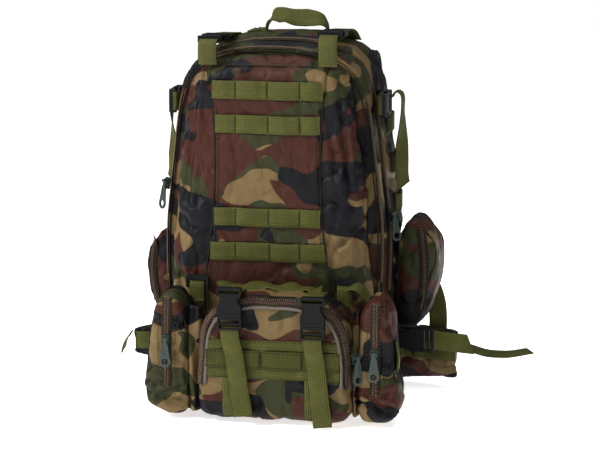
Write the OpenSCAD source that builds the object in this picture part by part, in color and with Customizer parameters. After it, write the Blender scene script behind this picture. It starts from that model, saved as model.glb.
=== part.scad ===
// Hunting backpack: three-compartment field pack with a detachable waist pouch and two side pouches.
// Millimetres. +Z is up, the front faces -Y, and the origin is the middle of the flat base.

/* [Pack] */
// Half width of the main compartment at the base
rear_half_base = 146; // [138:1:150]
// Half width of the main compartment at its widest height
rear_half_mid = 151; // [146:1:153]
// Half width of the main compartment where the top corners start
rear_half_top = 128; // [122:1:132]
// Height of the main compartment at its top corners
rear_top = 488; // [470:1:500]
// Where the back panel stands, behind the base's middle
back_y = 88; // [80:1:96]
// Seam between the main and the middle compartment
rear_seam_y = -19; // [-24:1:-14]
// Seam between the middle and the front compartment
front_seam_y = -75; // [-80:1:-68]
// Front face of the front compartment
front_y = -108; // [-114:1:-100]
// Thickness of the padded fabric walls
wall = 3; // [2:0.5:4]

/* [Webbing and buckles] */
// Width of the webbing
web_w = 25; // [20:1:25]
// Thickness of the webbing
web_t = 2; // [1.5:0.1:2]
// Width of a side-release buckle
buckle_w = 32; // [31:0.5:34]
// Thickness of a side-release buckle
buckle_t = 9; // [8.5:0.5:10]
// Length of a buckle's socket half
socket_len = 30; // [28:1:32]

/* [Waist pouch] */
// Sideways place of the waist pouch's middle
waist_x = 24; // [20:1:26]
// Half width of the waist pouch
waist_half = 104; // [100:1:104]
// Top of the waist pouch
waist_top = 172; // [165:1:176]
// Front face of the waist pouch
waist_y = -200; // [-204:1:-194]
// Width of the left pocket
pocket_w_left = 58; // [50:1:60]
// Width of the right pocket
pocket_w_right = 53; // [50:1:60]

/* [Zipper sliders] */
// Length of a pull tab below its pin
pull_len = 38; // [30:1:44]
// Width of a pull tab
pull_w = 14; // [10:1:16]

/* [Hidden] */

olive = "#69733a";
camo = "#5a4a35";
black = "#1a1b20";
steel = "#3f4a45";
coil = "#5a4a40";

$fn = 32;
gap = 0.4;          // clearance between bodies that move
seam = 1;           // half of the gap between two compartments
widest_z = 240;     // height where the main compartment is widest
crown = 7;          // rise of a compartment's top between its corners
base_t = 4;         // thickness of the base panel

rear_corner = 60;
rear_rise = rear_top - rear_corner - widest_z;
rear_lean = atan((rear_half_mid - rear_half_top) / rear_rise);

middle_half_mid = rear_half_mid - 3;
middle_half_top = rear_half_top - 1;
middle_top = rear_top - 2;

front_half_base = 142;
front_half_mid = 140;
front_half_top = 114;
front_wide_z = 180;
front_top = rear_top - 6;
front_corner = 45;

panel_t = 3;
panel_y = front_y - panel_t;
row_z = [433.5, 388, 264, 217.5];   // centres of the four webbing rows

top_strap_x = 81;
top_buckle_y = -62;                 // mouth of the two top buckles
top_buckle_z = [498, 506];          // the right one sits higher on its stiff webbing
side_buckle_y = -12;                // mouth of the two upper side buckles
side_buckle_z = 409;
lower_mouth = [196, -31, 88];       // mouth of the lower right buckle
waist_strap_reach = 55;
waist_mouth_z = [147, 138];         // mouths of the left and right waist buckles
waist_lean = [18, 14];              // how far each tail drifts to the right
waist_tail_z = [15, 4];             // where each tail ends

pocket_front_y = -188;
pocket_w = [pocket_w_left, pocket_w_right];
pocket_x = [waist_x - waist_half - 12 - pocket_w_left / 2, waist_x + waist_half + 3.5 + pocket_w_right / 2];
pocket_slider_z = [108, 99];
main_slider_z = 256;
front_slider_z = 300;
waist_slider_z = 94;
wing_pivot = [115, 96.5];

// ---- outlines -------------------------------------------------------------------------------

function arc(cx, cy, r, from, to, n) =
  [for (i = [0:n]) let (a = from + (to - from) * i / n) [cx + r * cos(a), cy + r * sin(a)]];

function mirrored(p) = [for (i = [len(p) - 1:-1:0]) [-p[i][0], p[i][1]]];

// A bag seen from the front: half widths at the base, the widest height and the top corners
function bag(base, mid, top, z0, wide_z, z1, low_r, high_r, grow = 0) =
  let (right = concat(
    arc(base - low_r, z0 + low_r, low_r + grow, -90, 0, 5),
    [[mid + grow, wide_z]],
    arc(top - high_r, z1 - high_r, high_r + grow, 0, 90, 8),
    [[top / 3, z1 + crown + grow]]))
  concat(right, mirrored(right));

function rear_outline(grow = 0) = bag(rear_half_base, rear_half_mid, rear_half_top,
  base_t, widest_z, rear_top, 18, rear_corner, grow);
function middle_outline(grow = 0) = bag(rear_half_base, middle_half_mid, middle_half_top,
  0, widest_z, middle_top, 18, rear_corner - 2, grow);
function front_outline(grow = 0) = bag(front_half_base, front_half_mid, front_half_top,
  0, front_wide_z, front_top, 18, front_corner, grow);

// A band of even thickness along a path in a plane
function heading(p, i) = let (a = p[max(i - 1, 0)], b = p[min(i + 1, len(p) - 1)], d = b - a) d / norm(d);
function side_of(p, i, off) = let (d = heading(p, i)) p[i] + off * [-d[1], d[0]];
function band(p, t) = concat(
  [for (i = [0:len(p) - 1]) side_of(p, i, t / 2)],
  [for (i = [len(p) - 1:-1:0]) side_of(p, i, -t / 2)]);

// ---- shared shapes --------------------------------------------------------------------------

// Extrudes an outline drawn in X and Z from y_back forwards to y_front
module slab(points, y_back, y_front) {
  translate([0, y_back, 0])
    rotate([90, 0, 0])
      linear_extrude(y_back - y_front) polygon(points);
}

// Extrudes a profile drawn in Y and Z from x0 across a width
module across(points, x0, width) {
  translate([x0, 0, 0])
    rotate([90, 0, 90])
      linear_extrude(width) polygon(points);
}

function rounded(w, h, r, n = 6) = concat(
  arc(w / 2 - r, h / 2 - r, r, 0, 90, n), arc(r - w / 2, h / 2 - r, r, 90, 180, n),
  arc(r - w / 2, r - h / 2, r, 180, 270, n), arc(w / 2 - r, r - h / 2, r, 270, 360, n));

// A rounded plate in X and Z, centred on its place
module plate(place, w, h, y_back, y_front, r) {
  translate([place[0], 0, place[1]]) slab(rounded(w, h, r), y_back, y_front);
}

module both_sides() {
  children();
  mirror([1, 0, 0]) children();
}

// ---- side-release buckle --------------------------------------------------------------------
// Local frame: the mouth is at z = 0 and faces -z, the flat faces look along y.

barb_half = buckle_w / 2 - 2.6;
cavity_t = buckle_t - 3.6;
arm_t = cavity_t - 2 * gap;
socket_h = socket_len + 9;      // the socket with its webbing bar
waist_z = socket_len - 6;       // height of the thumb scallops
waist_r = 9;
frame_len = 17;                 // the plug's webbing frame

// Flat outline of the socket: square shoulders at the mouth and a flared crown round the webbing bar
function socket_outline() = let (half = buckle_w / 2) concat(
  [[half - 1.2, 0], [half, 1.5], [half, 14]],
  arc(half + 3.5, waist_z, waist_r, 205, 155, 6),
  [[half, waist_z + 9], [half, socket_h - 2], [half - 2, socket_h]]);

module socket_shell() {
  slab(concat(socket_outline(), mirrored(socket_outline())), buckle_t / 2, -buckle_t / 2);
}

module buckle_socket() {
  difference() {
    socket_shell();
    // cavity for the plug's arms, open at the mouth and at both thumb scallops
    translate([-barb_half - gap, -cavity_t / 2, -1]) cube([2 * (barb_half + gap), cavity_t, socket_len - 1.5]);
    both_sides()
      translate([buckle_w / 2 - 6, -cavity_t / 2, 12]) cube([8, cavity_t, socket_len - 14.5]);
    // slot beside the webbing bar
    translate([-web_w / 2 - 0.8, -buckle_t, socket_len + 1.2]) cube([web_w + 1.6, 2 * buckle_t, 4]);
    // sunk panel on each flat face, with bevelled ends
    for (face = [-1, 1])
      translate([0, face * buckle_t / 2, 9.5])
        rotate([90, 0, 0]) linear_extrude(1, center = true) polygon(rounded(buckle_w - 8, 10, 2));
    // grip lines in the scallops' shoulders
    for (z = [3:1.6:8])
      both_sides() translate([buckle_w / 2 - 0.4, -buckle_t, z - 2]) cube([1, 2 * buckle_t, 0.7]);
  }
}

// One springy arm: a root on the frame, a thin neck, a thumb pad and a sloping nose
function arm_outline() = [
  [6.5, -2], [11, -2], [11.2, 9], [barb_half, 14.5], [barb_half, socket_len - 8.5], [barb_half - 1.5, socket_len - 6],
  [barb_half - 6, socket_len - 3], [barb_half - 7, socket_len - 5], [8.8, 12], [7.2, 5]];

module buckle_plug() {
  half = buckle_w / 2;
  face = buckle_t / 2 - 0.6;
  frame = concat([[half - 1, -gap], [half, -2.4]], arc(half - 3, 3 - frame_len, 3, 0, -90, 5));
  difference() {
    slab(concat(frame, mirrored(frame)), face, -face);
    // one window on each side of the bar that the webbing turns round
    for (z = [-8.2, 2.2 - frame_len])
      translate([-web_w / 2 - 0.8, -buckle_t, z]) cube([web_w + 1.6, 2 * buckle_t, 4]);
    // the bar stands back from both faces
    for (side = [-1, 1])
      translate([-web_w / 2 - 0.8, side * (face + 1) - 2, -12]) cube([web_w + 1.6, 4, 6]);
  }
  both_sides() slab(arm_outline(), arm_t / 2, -arm_t / 2);
  // centre guide blade, tapered to its tip
  slab([[-2.6, -2], [2.6, -2], [1.8, socket_len - 9], [0.8, socket_len - 6], [-0.8, socket_len - 6],
    [-1.8, socket_len - 9]], arm_t / 2, -arm_t / 2);
}

// ---- zipper slider and pull -----------------------------------------------------------------
// Local frame: the coil runs along z on the plane y = 0, the slider stands off it towards -y.

pin_y = -7.2;
pin_z = 3;
pin_r = 0.9;
eye_clear = 0.08;

slider_face = -gap - 3.6;       // front of the slider's top plate

// Plate outline: wide shoulders where the two halves of the zipper part, narrow where they join
function slider_outline() = concat([[5.4, 4.5]], arc(3, 5, 3, 0, 80, 4),
  mirrored(concat([[5.4, 4.5]], arc(3, 5, 3, 0, 80, 4))), [[-4, -7], [-2.5, -7.8], [2.5, -7.8], [4, -7]]);

module zip_slider() {
  // lower and upper plates with the diamond between them
  slab(slider_outline(), -gap, -gap - 1.1);
  slab([for (p = slider_outline()) p * 0.94], slider_face + 1.2, slider_face);
  slab([[0, 7], [2.4, 3], [1.6, -6], [-1.6, -6], [-2.4, 3]], -gap - 1, slider_face + 1);
  // rails along both edges of the upper plate
  both_sides() slab([[4.1, 4], [5, 4], [3.8, -6.8], [2.9, -6.8]], slider_face + 2.1, slider_face + 1);
  // two lugs carry the pin
  both_sides()
    across(concat(arc(pin_y, pin_z, 1.9, 90, 270, 6), [[slider_face + 0.5, pin_z - 3.4], [slider_face + 0.5, pin_z + 2.4]]),
      3.1, 1.6);
  translate([-3.5, pin_y, pin_z]) rotate([0, 90, 0]) cylinder(h = 7, r = pin_r);
}

module pull_tab(len = pull_len, w = pull_w) {
  end_r = w / 2 + 0.6;
  half = concat(arc(0, end_r - len, end_r, -90, 10, 8), [[w / 2 - 2, -len * 0.42], [w / 2 - 2.6, -9], [2.6, -5.4], [2.6, 0]]);
  translate([0, pin_y, pin_z])
    difference() {
      union() {
        slab(concat(half, mirrored(half)), 0.9, -0.9);
        translate([-2.6, 0, 0]) rotate([0, 90, 0]) cylinder(h = 5.2, r = 2.3);
      }
      translate([-4, 0, 0]) rotate([0, 90, 0]) cylinder(h = 8, r = pin_r + eye_clear);
      // round finger hole near the end
      translate([0, 0, end_r - len]) rotate([90, 0, 0]) cylinder(h = 6, r = end_r - 3.4, center = true);
      // sunk panel on the front
      translate([0, -0.9, -len * 0.4]) rotate([90, 0, 0]) linear_extrude(1, center = true) polygon(rounded(5, len * 0.26, 1.5));
    }
}

// ---- pack body ------------------------------------------------------------------------------

module base_panel() {
  color(camo)
    translate([-130, rear_seam_y + seam, 0]) cube([260, back_y - rear_seam_y - seam, base_t]);
}

module tub(outer, inner, y_back, y_front) {
  difference() {
    slab(outer, y_back, y_front);
    slab(inner, y_back - wall, y_front - 1);
  }
}

module rear_compartment() {
  color(camo) tub(rear_outline(), rear_outline(-wall), back_y, rear_seam_y + seam);
}

module frame_sheet() {
  color(black) plate([0, 240], 230, 430, back_y - wall, back_y - wall - 2, 30);
}

module frame_stays() {
  color("silver")
    both_sides() plate([60, 240], 20, 420, back_y - wall - 2, back_y - wall - 5, 9.9);
}

module back_pads() {
  color(black) {
    both_sides() plate([52, 340], 76, 190, back_y + 14, back_y, 24);
    plate([0, 155], 170, 120, back_y + 16, back_y, 24);
  }
}

// Padded strap seen from the side: it leaves the back high up and arches over the wearer's shoulder
strap_arch = [[back_y, 452], [back_y + 24, 462], [back_y + 48, 452], [back_y + 64, 425], [back_y + 72, 385],
  [back_y + 73, 340], [back_y + 68, 295], [back_y + 60, 262]];
strap_web = [[back_y + 59, 262], [back_y + 50, 225], [back_y + 30, 165], [back_y + 2, 122], [back_y + 2, 108]];

module shoulder_strap_right() {
  color(black) across(band([for (p = strap_arch) p + [7, 0]], 12), 42, 66);
}

module shoulder_strap_left() {
  mirror([1, 0, 0]) shoulder_strap_right();
}

module shoulder_webbing() {
  color(olive)
    both_sides() across(band([for (p = strap_web) p + [1, -6]], web_t), 96, web_w);
}

module ladder_locks() {
  color(black)
    both_sides()
      translate([108.5, back_y + 67.5, 246])
        rotate([12, 0, 0])
          difference() {
            slab(rounded(34, 26, 3), 3, -3);
            for (z = [-8.5, -1.5, 5])
              translate([-web_w / 2 - 1, -4, z]) cube([web_w + 2, 8, 3.4]);
          }
}

// Olive webbing rows sewn to both sides of the main compartment
module side_webbing() {
  color(olive)
    both_sides()
      intersection() {
        difference() {
          slab(rear_outline(web_t), back_y - 8, rear_seam_y + 29);
          slab(rear_outline(0), back_y + 1, rear_seam_y);
        }
        for (z = [376, 322, 268])
          translate([100, rear_seam_y, z - web_w / 2]) cube([80, 140, web_w]);
      }
}

// Hip wing seen from above: it leaves the back sideways and bends forward
wing_path = [[wing_pivot[0], wing_pivot[1]], [140, wing_pivot[1]], [162, wing_pivot[1] - 2],
  [185, wing_pivot[1] - 8], [208, wing_pivot[1] - 17], [232, wing_pivot[1] - 28]];

module hip_wing_right() {
  color(camo)
    difference() {
      translate([0, 0, 4]) linear_extrude(84) polygon(band(wing_path, 12));
      translate([232, 0, 4]) rotate([0, 35, 0]) translate([0, 0, -40]) cube([60, 140, 60]);
      translate([232, 0, 88]) rotate([0, -35, 0]) translate([0, 0, -20]) cube([60, 140, 60]);
    }
}

module hip_wing_left() {
  mirror([1, 0, 0]) hip_wing_right();
}

// Hip strap tails seen from the front: they leave the wing's tip, dip and lie out to the side
right_tail = [[236, 62], [252, 56], [274, 51], [296, 50], [318, 53], [340, 58]];
left_tail = [[-236, 60], [-243, 52], [-247, 42], [-249, 32]];

module hip_webbing_right() {
  color(olive) slab(band(right_tail, web_t), 86, 86 - web_w);
}

module hip_webbing_left() {
  color(olive) slab(band(left_tail, web_t), 86, 86 - web_w);
}

handle_x = 11;
handle_half = 44;
handle_foot_z = rear_top + crown + 4.2;
handle_pivot_z = handle_foot_z + 3.5;

module carry_handle() {
  path = concat([[handle_x + handle_half, handle_foot_z]],
    [for (a = [10:20:170]) [handle_x + (handle_half - 3) * cos(a), handle_foot_z + 5 + 18 * sin(a)]],
    [[handle_x - handle_half, handle_foot_z]]);
  color(olive) slab(band(path, 3.5), 46, 34);
}

module middle_compartment() {
  color(camo) tub(middle_outline(), middle_outline(-wall), rear_seam_y - seam, front_seam_y + seam);
}

// Coil along a compartment's rim, from the given height on one side over the top to the other
module rim_zipper(outer, inner, y_back, y_front, from_z) {
  intersection() {
    difference() {
      slab(outer, y_back, y_front);
      slab(inner, y_back + 1, y_front - 1);
    }
    translate([-200, y_front - 1, from_z]) cube([400, y_back - y_front + 2, 500]);
  }
}

module main_zipper() {
  color(coil)
    rim_zipper(rear_outline(2), rear_outline(0), rear_seam_y + 9, rear_seam_y + 1.5, 150);
}

module front_zipper() {
  color(coil)
    rim_zipper(middle_outline(2), middle_outline(0), front_seam_y + 9, front_seam_y + 1.5, 170);
}

// Places a slider on the sloping side of the main or the middle compartment
module on_side(side, half_mid, half_top, top, z, seam_y) {
  lean = atan((half_mid - half_top) / (top - widest_z));
  x = half_mid - (z - widest_z) * tan(lean) + 2.5;
  translate([side * x, seam_y, z])
    rotate([0, -side * lean, 0])
      rotate([0, 0, side * 45]) children();
}

module on_main_rim() {
  on_side(1, rear_half_mid, rear_half_top, rear_top - rear_corner, main_slider_z, rear_seam_y) children();
}

module on_front_rim() {
  on_side(-1, middle_half_mid, middle_half_top, middle_top - rear_corner + 2, front_slider_z, front_seam_y)
    children();
}

module main_slider() {
  color(steel) on_main_rim() zip_slider();
}

module main_pull() {
  color(steel) on_main_rim() pull_tab();
}

module front_slider() {
  color(steel) on_front_rim() zip_slider();
}

module front_pull() {
  color(steel) on_front_rim() pull_tab();
}

// ---- front compartment ----------------------------------------------------------------------

module front_pocket() {
  color(camo) slab(front_outline(), front_seam_y - seam, front_y);
}

function panel_half(z) = 71 + 13 * pow((z - 335) / 150, 2);
function panel_side() = [for (z = [175:31:485]) [panel_half(z), z]];

module front_panel() {
  points = concat([[84, 8]], panel_side(), mirrored(panel_side()), [[-84, 8]]);
  color(camo) slab(points, front_y, panel_y);
}

module front_webbing() {
  color(olive)
    for (z = row_z)
      plate([0, z], 2 * panel_half(z) - 1, web_w, panel_y, panel_y - web_t, 1);
}

function end_x(i, reach) = (i == 0 ? -1 : 1) * reach;

module top_webbing() {
  color(olive)
    for (i = [0, 1]) {
      end_z = top_buckle_z[i];
      path = [[panel_y - 1, 470], [panel_y - 1, end_z - 9], [panel_y + 1.5, end_z - 2], [top_buckle_y - socket_h - 0.6, end_z]];
      across(band(path, web_t), end_x(i, top_strap_x) - web_w / 2, web_w);
    }
}

module at_top_buckle(i) {
  translate([end_x(i, top_strap_x), top_buckle_y, top_buckle_z[i]]) rotate([90, 0, 0]) children();
}

module top_sockets() {
  color(black)
    for (i = [0, 1]) at_top_buckle(i) buckle_socket();
}

module top_strap(i) {
  back = top_buckle_y + frame_len + 0.4;
  z = top_buckle_z[i];
  path = [[back, z], [back + 8, z + 1], [-10, z], [20, 496], [50, 494], [78, 493.5]];
  color(olive) across(band(path, web_t), end_x(i, top_strap_x) - web_w / 2, web_w);
}

module top_plug_left() {
  color(black) at_top_buckle(0) buckle_plug();
}

module top_plug_right() {
  color(black) at_top_buckle(1) buckle_plug();
}

module top_strap_left() {
  top_strap(0);
}

module top_strap_right() {
  top_strap(1);
}

// ---- compression buckles on the sides -------------------------------------------------------

side_buckle_x = 144;

module at_side_buckle(side) {
  translate([side * side_buckle_x, side_buckle_y, side_buckle_z])
    rotate([0, side * 90, 0]) rotate([90, 0, 0]) children();
}

module at_lower_buckle() {
  translate(lower_mouth) rotate([0, -90, 0]) children();
}

module side_sockets() {
  color(black) {
    for (side = [-1, 1]) at_side_buckle(side) buckle_socket();
    at_lower_buckle() buckle_socket();
  }
}

module side_tail(side) {
  x = side_buckle_x + buckle_t / 2;
  path = [[x - 2, side_buckle_z + 4], [x + 6, side_buckle_z + 12], [x + 12, side_buckle_z + 2],
    [x + 11, side_buckle_z - 40], [x + 12, side_buckle_z - 80], [x + 14, side_buckle_z - 125]];
  mirror([side < 0 ? 1 : 0, 0, 0])
    color(olive) slab(band(path, web_t), side_buckle_y + frame_len + web_w, side_buckle_y + frame_len + 0.2);
}

module side_plug_left() {
  color(black) at_side_buckle(-1) buckle_plug();
}

module side_plug_right() {
  color(black) at_side_buckle(1) buckle_plug();
}

module side_tail_left() {
  side_tail(-1);
}

module side_tail_right() {
  side_tail(1);
}

module lower_plug_right() {
  color(black) at_lower_buckle() buckle_plug();
}

module lower_tail_right() {
  x0 = lower_mouth[0] + frame_len + 0.2;
  half = web_w / 2;
  points = [[x0, lower_mouth[2] - half], [x0 + 50, lower_mouth[2] - half - 4], [x0 + 56, lower_mouth[2] + half - 6],
    [x0, lower_mouth[2] + half]];
  color(olive) slab(points, lower_mouth[1] + 1, lower_mouth[1] - 1);
}

// ---- waist pouch ----------------------------------------------------------------------------

function waist_outline(grow = 0) =
  [for (p = bag(waist_half, waist_half, waist_half - 4, 5, 70, waist_top - crown, 16, 46, grow)) p + [waist_x, 0]];

module waist_pouch() {
  color(camo) {
    slab(waist_outline(), panel_y - 1, waist_y + 8);
    slab(waist_outline(-9), waist_y + 9, waist_y);
  }
}

module waist_band() {
  color(olive) {
    plate([waist_x, 89], 2 * waist_half - 22, 51, waist_y, waist_y - web_t, 2);
    plate([waist_x, 89], 2 * waist_half - 22, web_w, waist_y - web_t, waist_y - 2 * web_t, 1);
  }
}

module waist_zipper() {
  color(coil)
    rim_zipper(waist_outline(2.5), waist_outline(0), waist_y + 17, waist_y + 9, 66);
}

// Gathered webbing handle that lies along the pouch's top
module waist_handle() {
  half = 64;
  ripple = [for (x = [-half:8:half]) [x, 6 + 1.6 * sin(x * 11)]];
  points = concat(ripple, [[half + 6, 0.4], [-half - 6, 0.4]]);
  color(olive)
    translate([waist_x - 13, 0, waist_top]) slab(points, -136, -136 - web_w);
}

module waist_webbing() {
  over_top = [[-170, waist_top - 0.5], [-192, waist_top + 1], [-200, waist_top - 3]];
  color(olive)
    for (side = [-1, 1]) {
      x = waist_x + side * waist_strap_reach;
      across(band([for (p = over_top) p + [0, 3]], web_t), x - web_w / 2, web_w);
      plate([x, 36], web_w, 54, waist_y, waist_y - web_t, 1);
    }
}

module at_waist_buckle(i) {
  translate([waist_x + end_x(i, waist_strap_reach), waist_y - web_t - 2 - buckle_t / 2, waist_mouth_z[i]]) children();
}

module waist_sockets() {
  color(black)
    for (i = [0, 1]) at_waist_buckle(i) buckle_socket();
}

module waist_plug_left() {
  color(black) at_waist_buckle(0) buckle_plug();
}

module waist_plug_right() {
  color(black) at_waist_buckle(1) buckle_plug();
}

// A tail hangs from its plug and drifts a little sideways
module waist_tail(i) {
  x = waist_x + end_x(i, waist_strap_reach);
  z1 = waist_mouth_z[i] - frame_len - 0.2;
  half = web_w / 2;
  low = x + waist_lean[i];
  y = waist_y - 2 * web_t - 3;
  points = [[low - half, waist_tail_z[i]], [low + half, waist_tail_z[i]], [x + half, z1], [x - half, z1]];
  color(olive) slab(points, y, y - web_t);
}

module waist_tail_left() {
  waist_tail(0);
}

module waist_tail_right() {
  waist_tail(1);
}

// Slider on the straight right leg of the waist pouch's zipper
module on_waist_rim() {
  translate([waist_x + waist_half + 2.5, waist_y + 13, waist_slider_z]) rotate([0, 0, 45]) children();
}

module waist_slider() {
  color(steel)
    translate([1.5, -5.5, 0]) on_waist_rim() zip_slider();
}

module waist_pull() {
  color(steel)
    translate([1.5, -5.5, 0]) on_waist_rim() pull_tab();
}

// Webbing tabs with plastic rings that hang the pouch on the pack
module hanger_rings() {
  color(black)
    for (x = [waist_x - 118, waist_x + 82])
      translate([x, -122, waist_top + 4])
        difference() {
          slab(rounded(30, 18, 3), 2, -2);
          slab(rounded(24, 4, 1), 4, -4);
          translate([0, 0, -5.5]) slab(rounded(24, 3, 1), 4, -4);
        }
}

function pocket_outline(half, grow = 0) = bag(half, half, half - 3, 4, 60, 167, 14, 20, grow);

module pocket(i) {
  half = pocket_w[i] / 2;
  color(camo)
    translate([pocket_x[i], 0, 0]) {
      slab(pocket_outline(half), -120, pocket_front_y + 7);
      slab(pocket_outline(half, -6), pocket_front_y + 8, pocket_front_y);
    }
}

module pocket_left() {
  pocket(0);
}

module pocket_right() {
  pocket(1);
}

module pocket_zippers() {
  color(coil)
    for (x = pocket_x)
      plate([x, 104], 9, 120, pocket_front_y, pocket_front_y - 2, 2);
}

module on_pocket(i) {
  translate([pocket_x[i], pocket_front_y - 2, pocket_slider_z[i]]) children();
}

module pocket_slider_left() {
  color(steel) on_pocket(0) zip_slider();
}

module pocket_slider_right() {
  color(steel) on_pocket(1) zip_slider();
}

module pocket_pull_left() {
  color(steel) on_pocket(0) pull_tab();
}

module pocket_pull_right() {
  color(steel) on_pocket(1) pull_tab();
}

// ---- side pouches ---------------------------------------------------------------------------

// Seen from the front the pouch is a leaf: its zipped top comes to a soft point and it narrows below
module side_pouch(reach, top, bottom) {
  inner = rear_half_mid + web_t + 0.8;
  wide = reach - inner;
  points = concat([[inner, bottom], [inner + 0.45 * wide, bottom - 2], [inner + 0.62 * wide, bottom + 8],
    [reach - 3, top - 76], [reach, top - 56]],
    arc(reach - 26, top - 44, 26, 0, 50, 4),
    [[inner + 0.55 * wide, top - 3], [inner + 0.42 * wide, top], [inner + 0.25 * wide, top - 5], [inner, top - 30]]);
  color(camo) slab(points, 84, -4);
}

module side_pouch_left() {
  mirror([1, 0, 0]) side_pouch(195, 226, 96);
}

module side_pouch_right() {
  side_pouch(213, 250, 96);
}

base_panel();
rear_compartment();
frame_sheet();
frame_stays();
back_pads();
shoulder_strap_left();
shoulder_strap_right();
shoulder_webbing();
ladder_locks();
side_webbing();
hip_wing_left();
hip_wing_right();
hip_webbing_left();
hip_webbing_right();
carry_handle();
middle_compartment();
main_zipper();
main_slider();
main_pull();
front_pocket();
front_panel();
front_webbing();
front_zipper();
front_slider();
front_pull();
top_webbing();
top_sockets();
top_plug_left();
top_plug_right();
top_strap_left();
top_strap_right();
side_sockets();
side_plug_left();
side_plug_right();
side_tail_left();
side_tail_right();
lower_plug_right();
lower_tail_right();
waist_pouch();
waist_band();
waist_handle();
waist_zipper();
waist_slider();
waist_pull();
waist_webbing();
waist_sockets();
waist_plug_left();
waist_plug_right();
waist_tail_left();
waist_tail_right();
hanger_rings();
pocket_left();
pocket_right();
pocket_zippers();
pocket_slider_left();
pocket_slider_right();
pocket_pull_left();
pocket_pull_right();
side_pouch_left();
side_pouch_right();
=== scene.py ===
import math

import bmesh
import bpy
import numpy as np
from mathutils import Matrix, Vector, noise
from mathutils.bvhtree import BVHTree


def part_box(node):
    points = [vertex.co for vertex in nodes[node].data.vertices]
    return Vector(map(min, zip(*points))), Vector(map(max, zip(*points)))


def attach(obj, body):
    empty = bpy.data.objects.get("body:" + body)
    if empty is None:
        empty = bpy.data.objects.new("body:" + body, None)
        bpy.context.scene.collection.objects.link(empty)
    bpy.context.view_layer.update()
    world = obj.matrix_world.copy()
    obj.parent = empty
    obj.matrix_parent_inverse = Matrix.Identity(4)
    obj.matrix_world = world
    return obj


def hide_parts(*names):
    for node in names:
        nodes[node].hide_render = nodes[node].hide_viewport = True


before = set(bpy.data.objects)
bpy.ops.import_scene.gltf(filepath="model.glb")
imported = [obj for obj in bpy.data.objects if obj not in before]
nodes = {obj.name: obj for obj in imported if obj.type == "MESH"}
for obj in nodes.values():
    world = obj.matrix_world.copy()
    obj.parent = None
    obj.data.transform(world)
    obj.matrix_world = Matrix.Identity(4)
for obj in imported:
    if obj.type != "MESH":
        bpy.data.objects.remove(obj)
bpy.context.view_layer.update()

scene = bpy.context.scene

ACROSS, BACK, UP = (1, 0, 0), (0, 1, 0), (0, 0, 1)
WEBBING = 0.025


# ---- camera, light and floor ----------------------------------------------------------------

def make_camera():
    """Long lens a little to the right of the pack and just above it."""
    data = bpy.data.cameras.new("camera")
    camera = bpy.data.objects.new("camera", data)
    scene.collection.objects.link(camera)
    azimuth, elevation, distance = math.radians(11), math.radians(9.5), 3.6
    target = Vector((0.026, -0.02, 0.239))
    back = Vector((math.sin(azimuth) * math.cos(elevation), -math.cos(azimuth) * math.cos(elevation),
                   math.sin(elevation)))
    camera.location = target + back * distance
    camera.rotation_mode = "QUATERNION"
    camera.rotation_quaternion = (-back).to_track_quat("-Z", "Y")
    view_width = 0.818
    data.lens = data.sensor_width * distance / view_width
    scene.camera = camera


def area_light(name, place, aim, size, power):
    """Rectangular lamp at place that points at aim."""
    data = bpy.data.lights.new(name, "AREA")
    data.shape = "RECTANGLE"
    data.size, data.size_y = size
    data.energy = power
    lamp = bpy.data.objects.new(name, data)
    scene.collection.objects.link(lamp)
    lamp.location = place
    lamp.rotation_mode = "QUATERNION"
    lamp.rotation_quaternion = (Vector(aim) - Vector(place)).to_track_quat("-Z", "Y")


def make_studio():
    """White paper floor and world, a small key light for soft edges, and broad fill from above."""
    bpy.ops.mesh.primitive_plane_add(size=9)
    floor = bpy.context.object
    floor.name = "floor"
    mat = bpy.data.materials.new("floor_paper")
    mat.use_nodes = True
    shader = mat.node_tree.nodes["Principled BSDF"]
    shader.inputs["Base Color"].default_value = (0.93, 0.93, 0.93, 1)
    shader.inputs["Roughness"].default_value = 0.9
    shader.inputs["Emission Color"].default_value = (1, 1, 1, 1)
    shader.inputs["Emission Strength"].default_value = 0.72
    floor.data.materials.append(mat)
    world = bpy.data.worlds.new("studio")
    world.use_nodes = True
    sky = world.node_tree.nodes["Background"]
    sky.inputs[0].default_value = (1, 1, 1, 1)
    seen = world.node_tree.nodes.new("ShaderNodeLightPath")
    amount = world.node_tree.nodes.new("ShaderNodeMapRange")
    amount.inputs["To Min"].default_value = 0.22
    amount.inputs["To Max"].default_value = 1.0
    world.node_tree.links.new(seen.outputs["Is Camera Ray"], amount.inputs["Value"])
    world.node_tree.links.new(amount.outputs[0], sky.inputs[1])
    scene.world = world
    area_light("key", (-1.6, -1.5, 1.7), (0, 0, 0.25), (0.8, 0.9), 58)
    area_light("front", (0.4, -3.0, 0.8), (0, 0, 0.2), (1.4, 1.0), 9)
    area_light("top", (0.2, 0.0, 2.6), (0.1, 0, 0), (3.0, 3.0), 58)
    scene.view_settings.view_transform = "Standard"
    scene.view_settings.gamma = 0.78


make_camera()
make_studio()


# ---- materials ------------------------------------------------------------------------------

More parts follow.
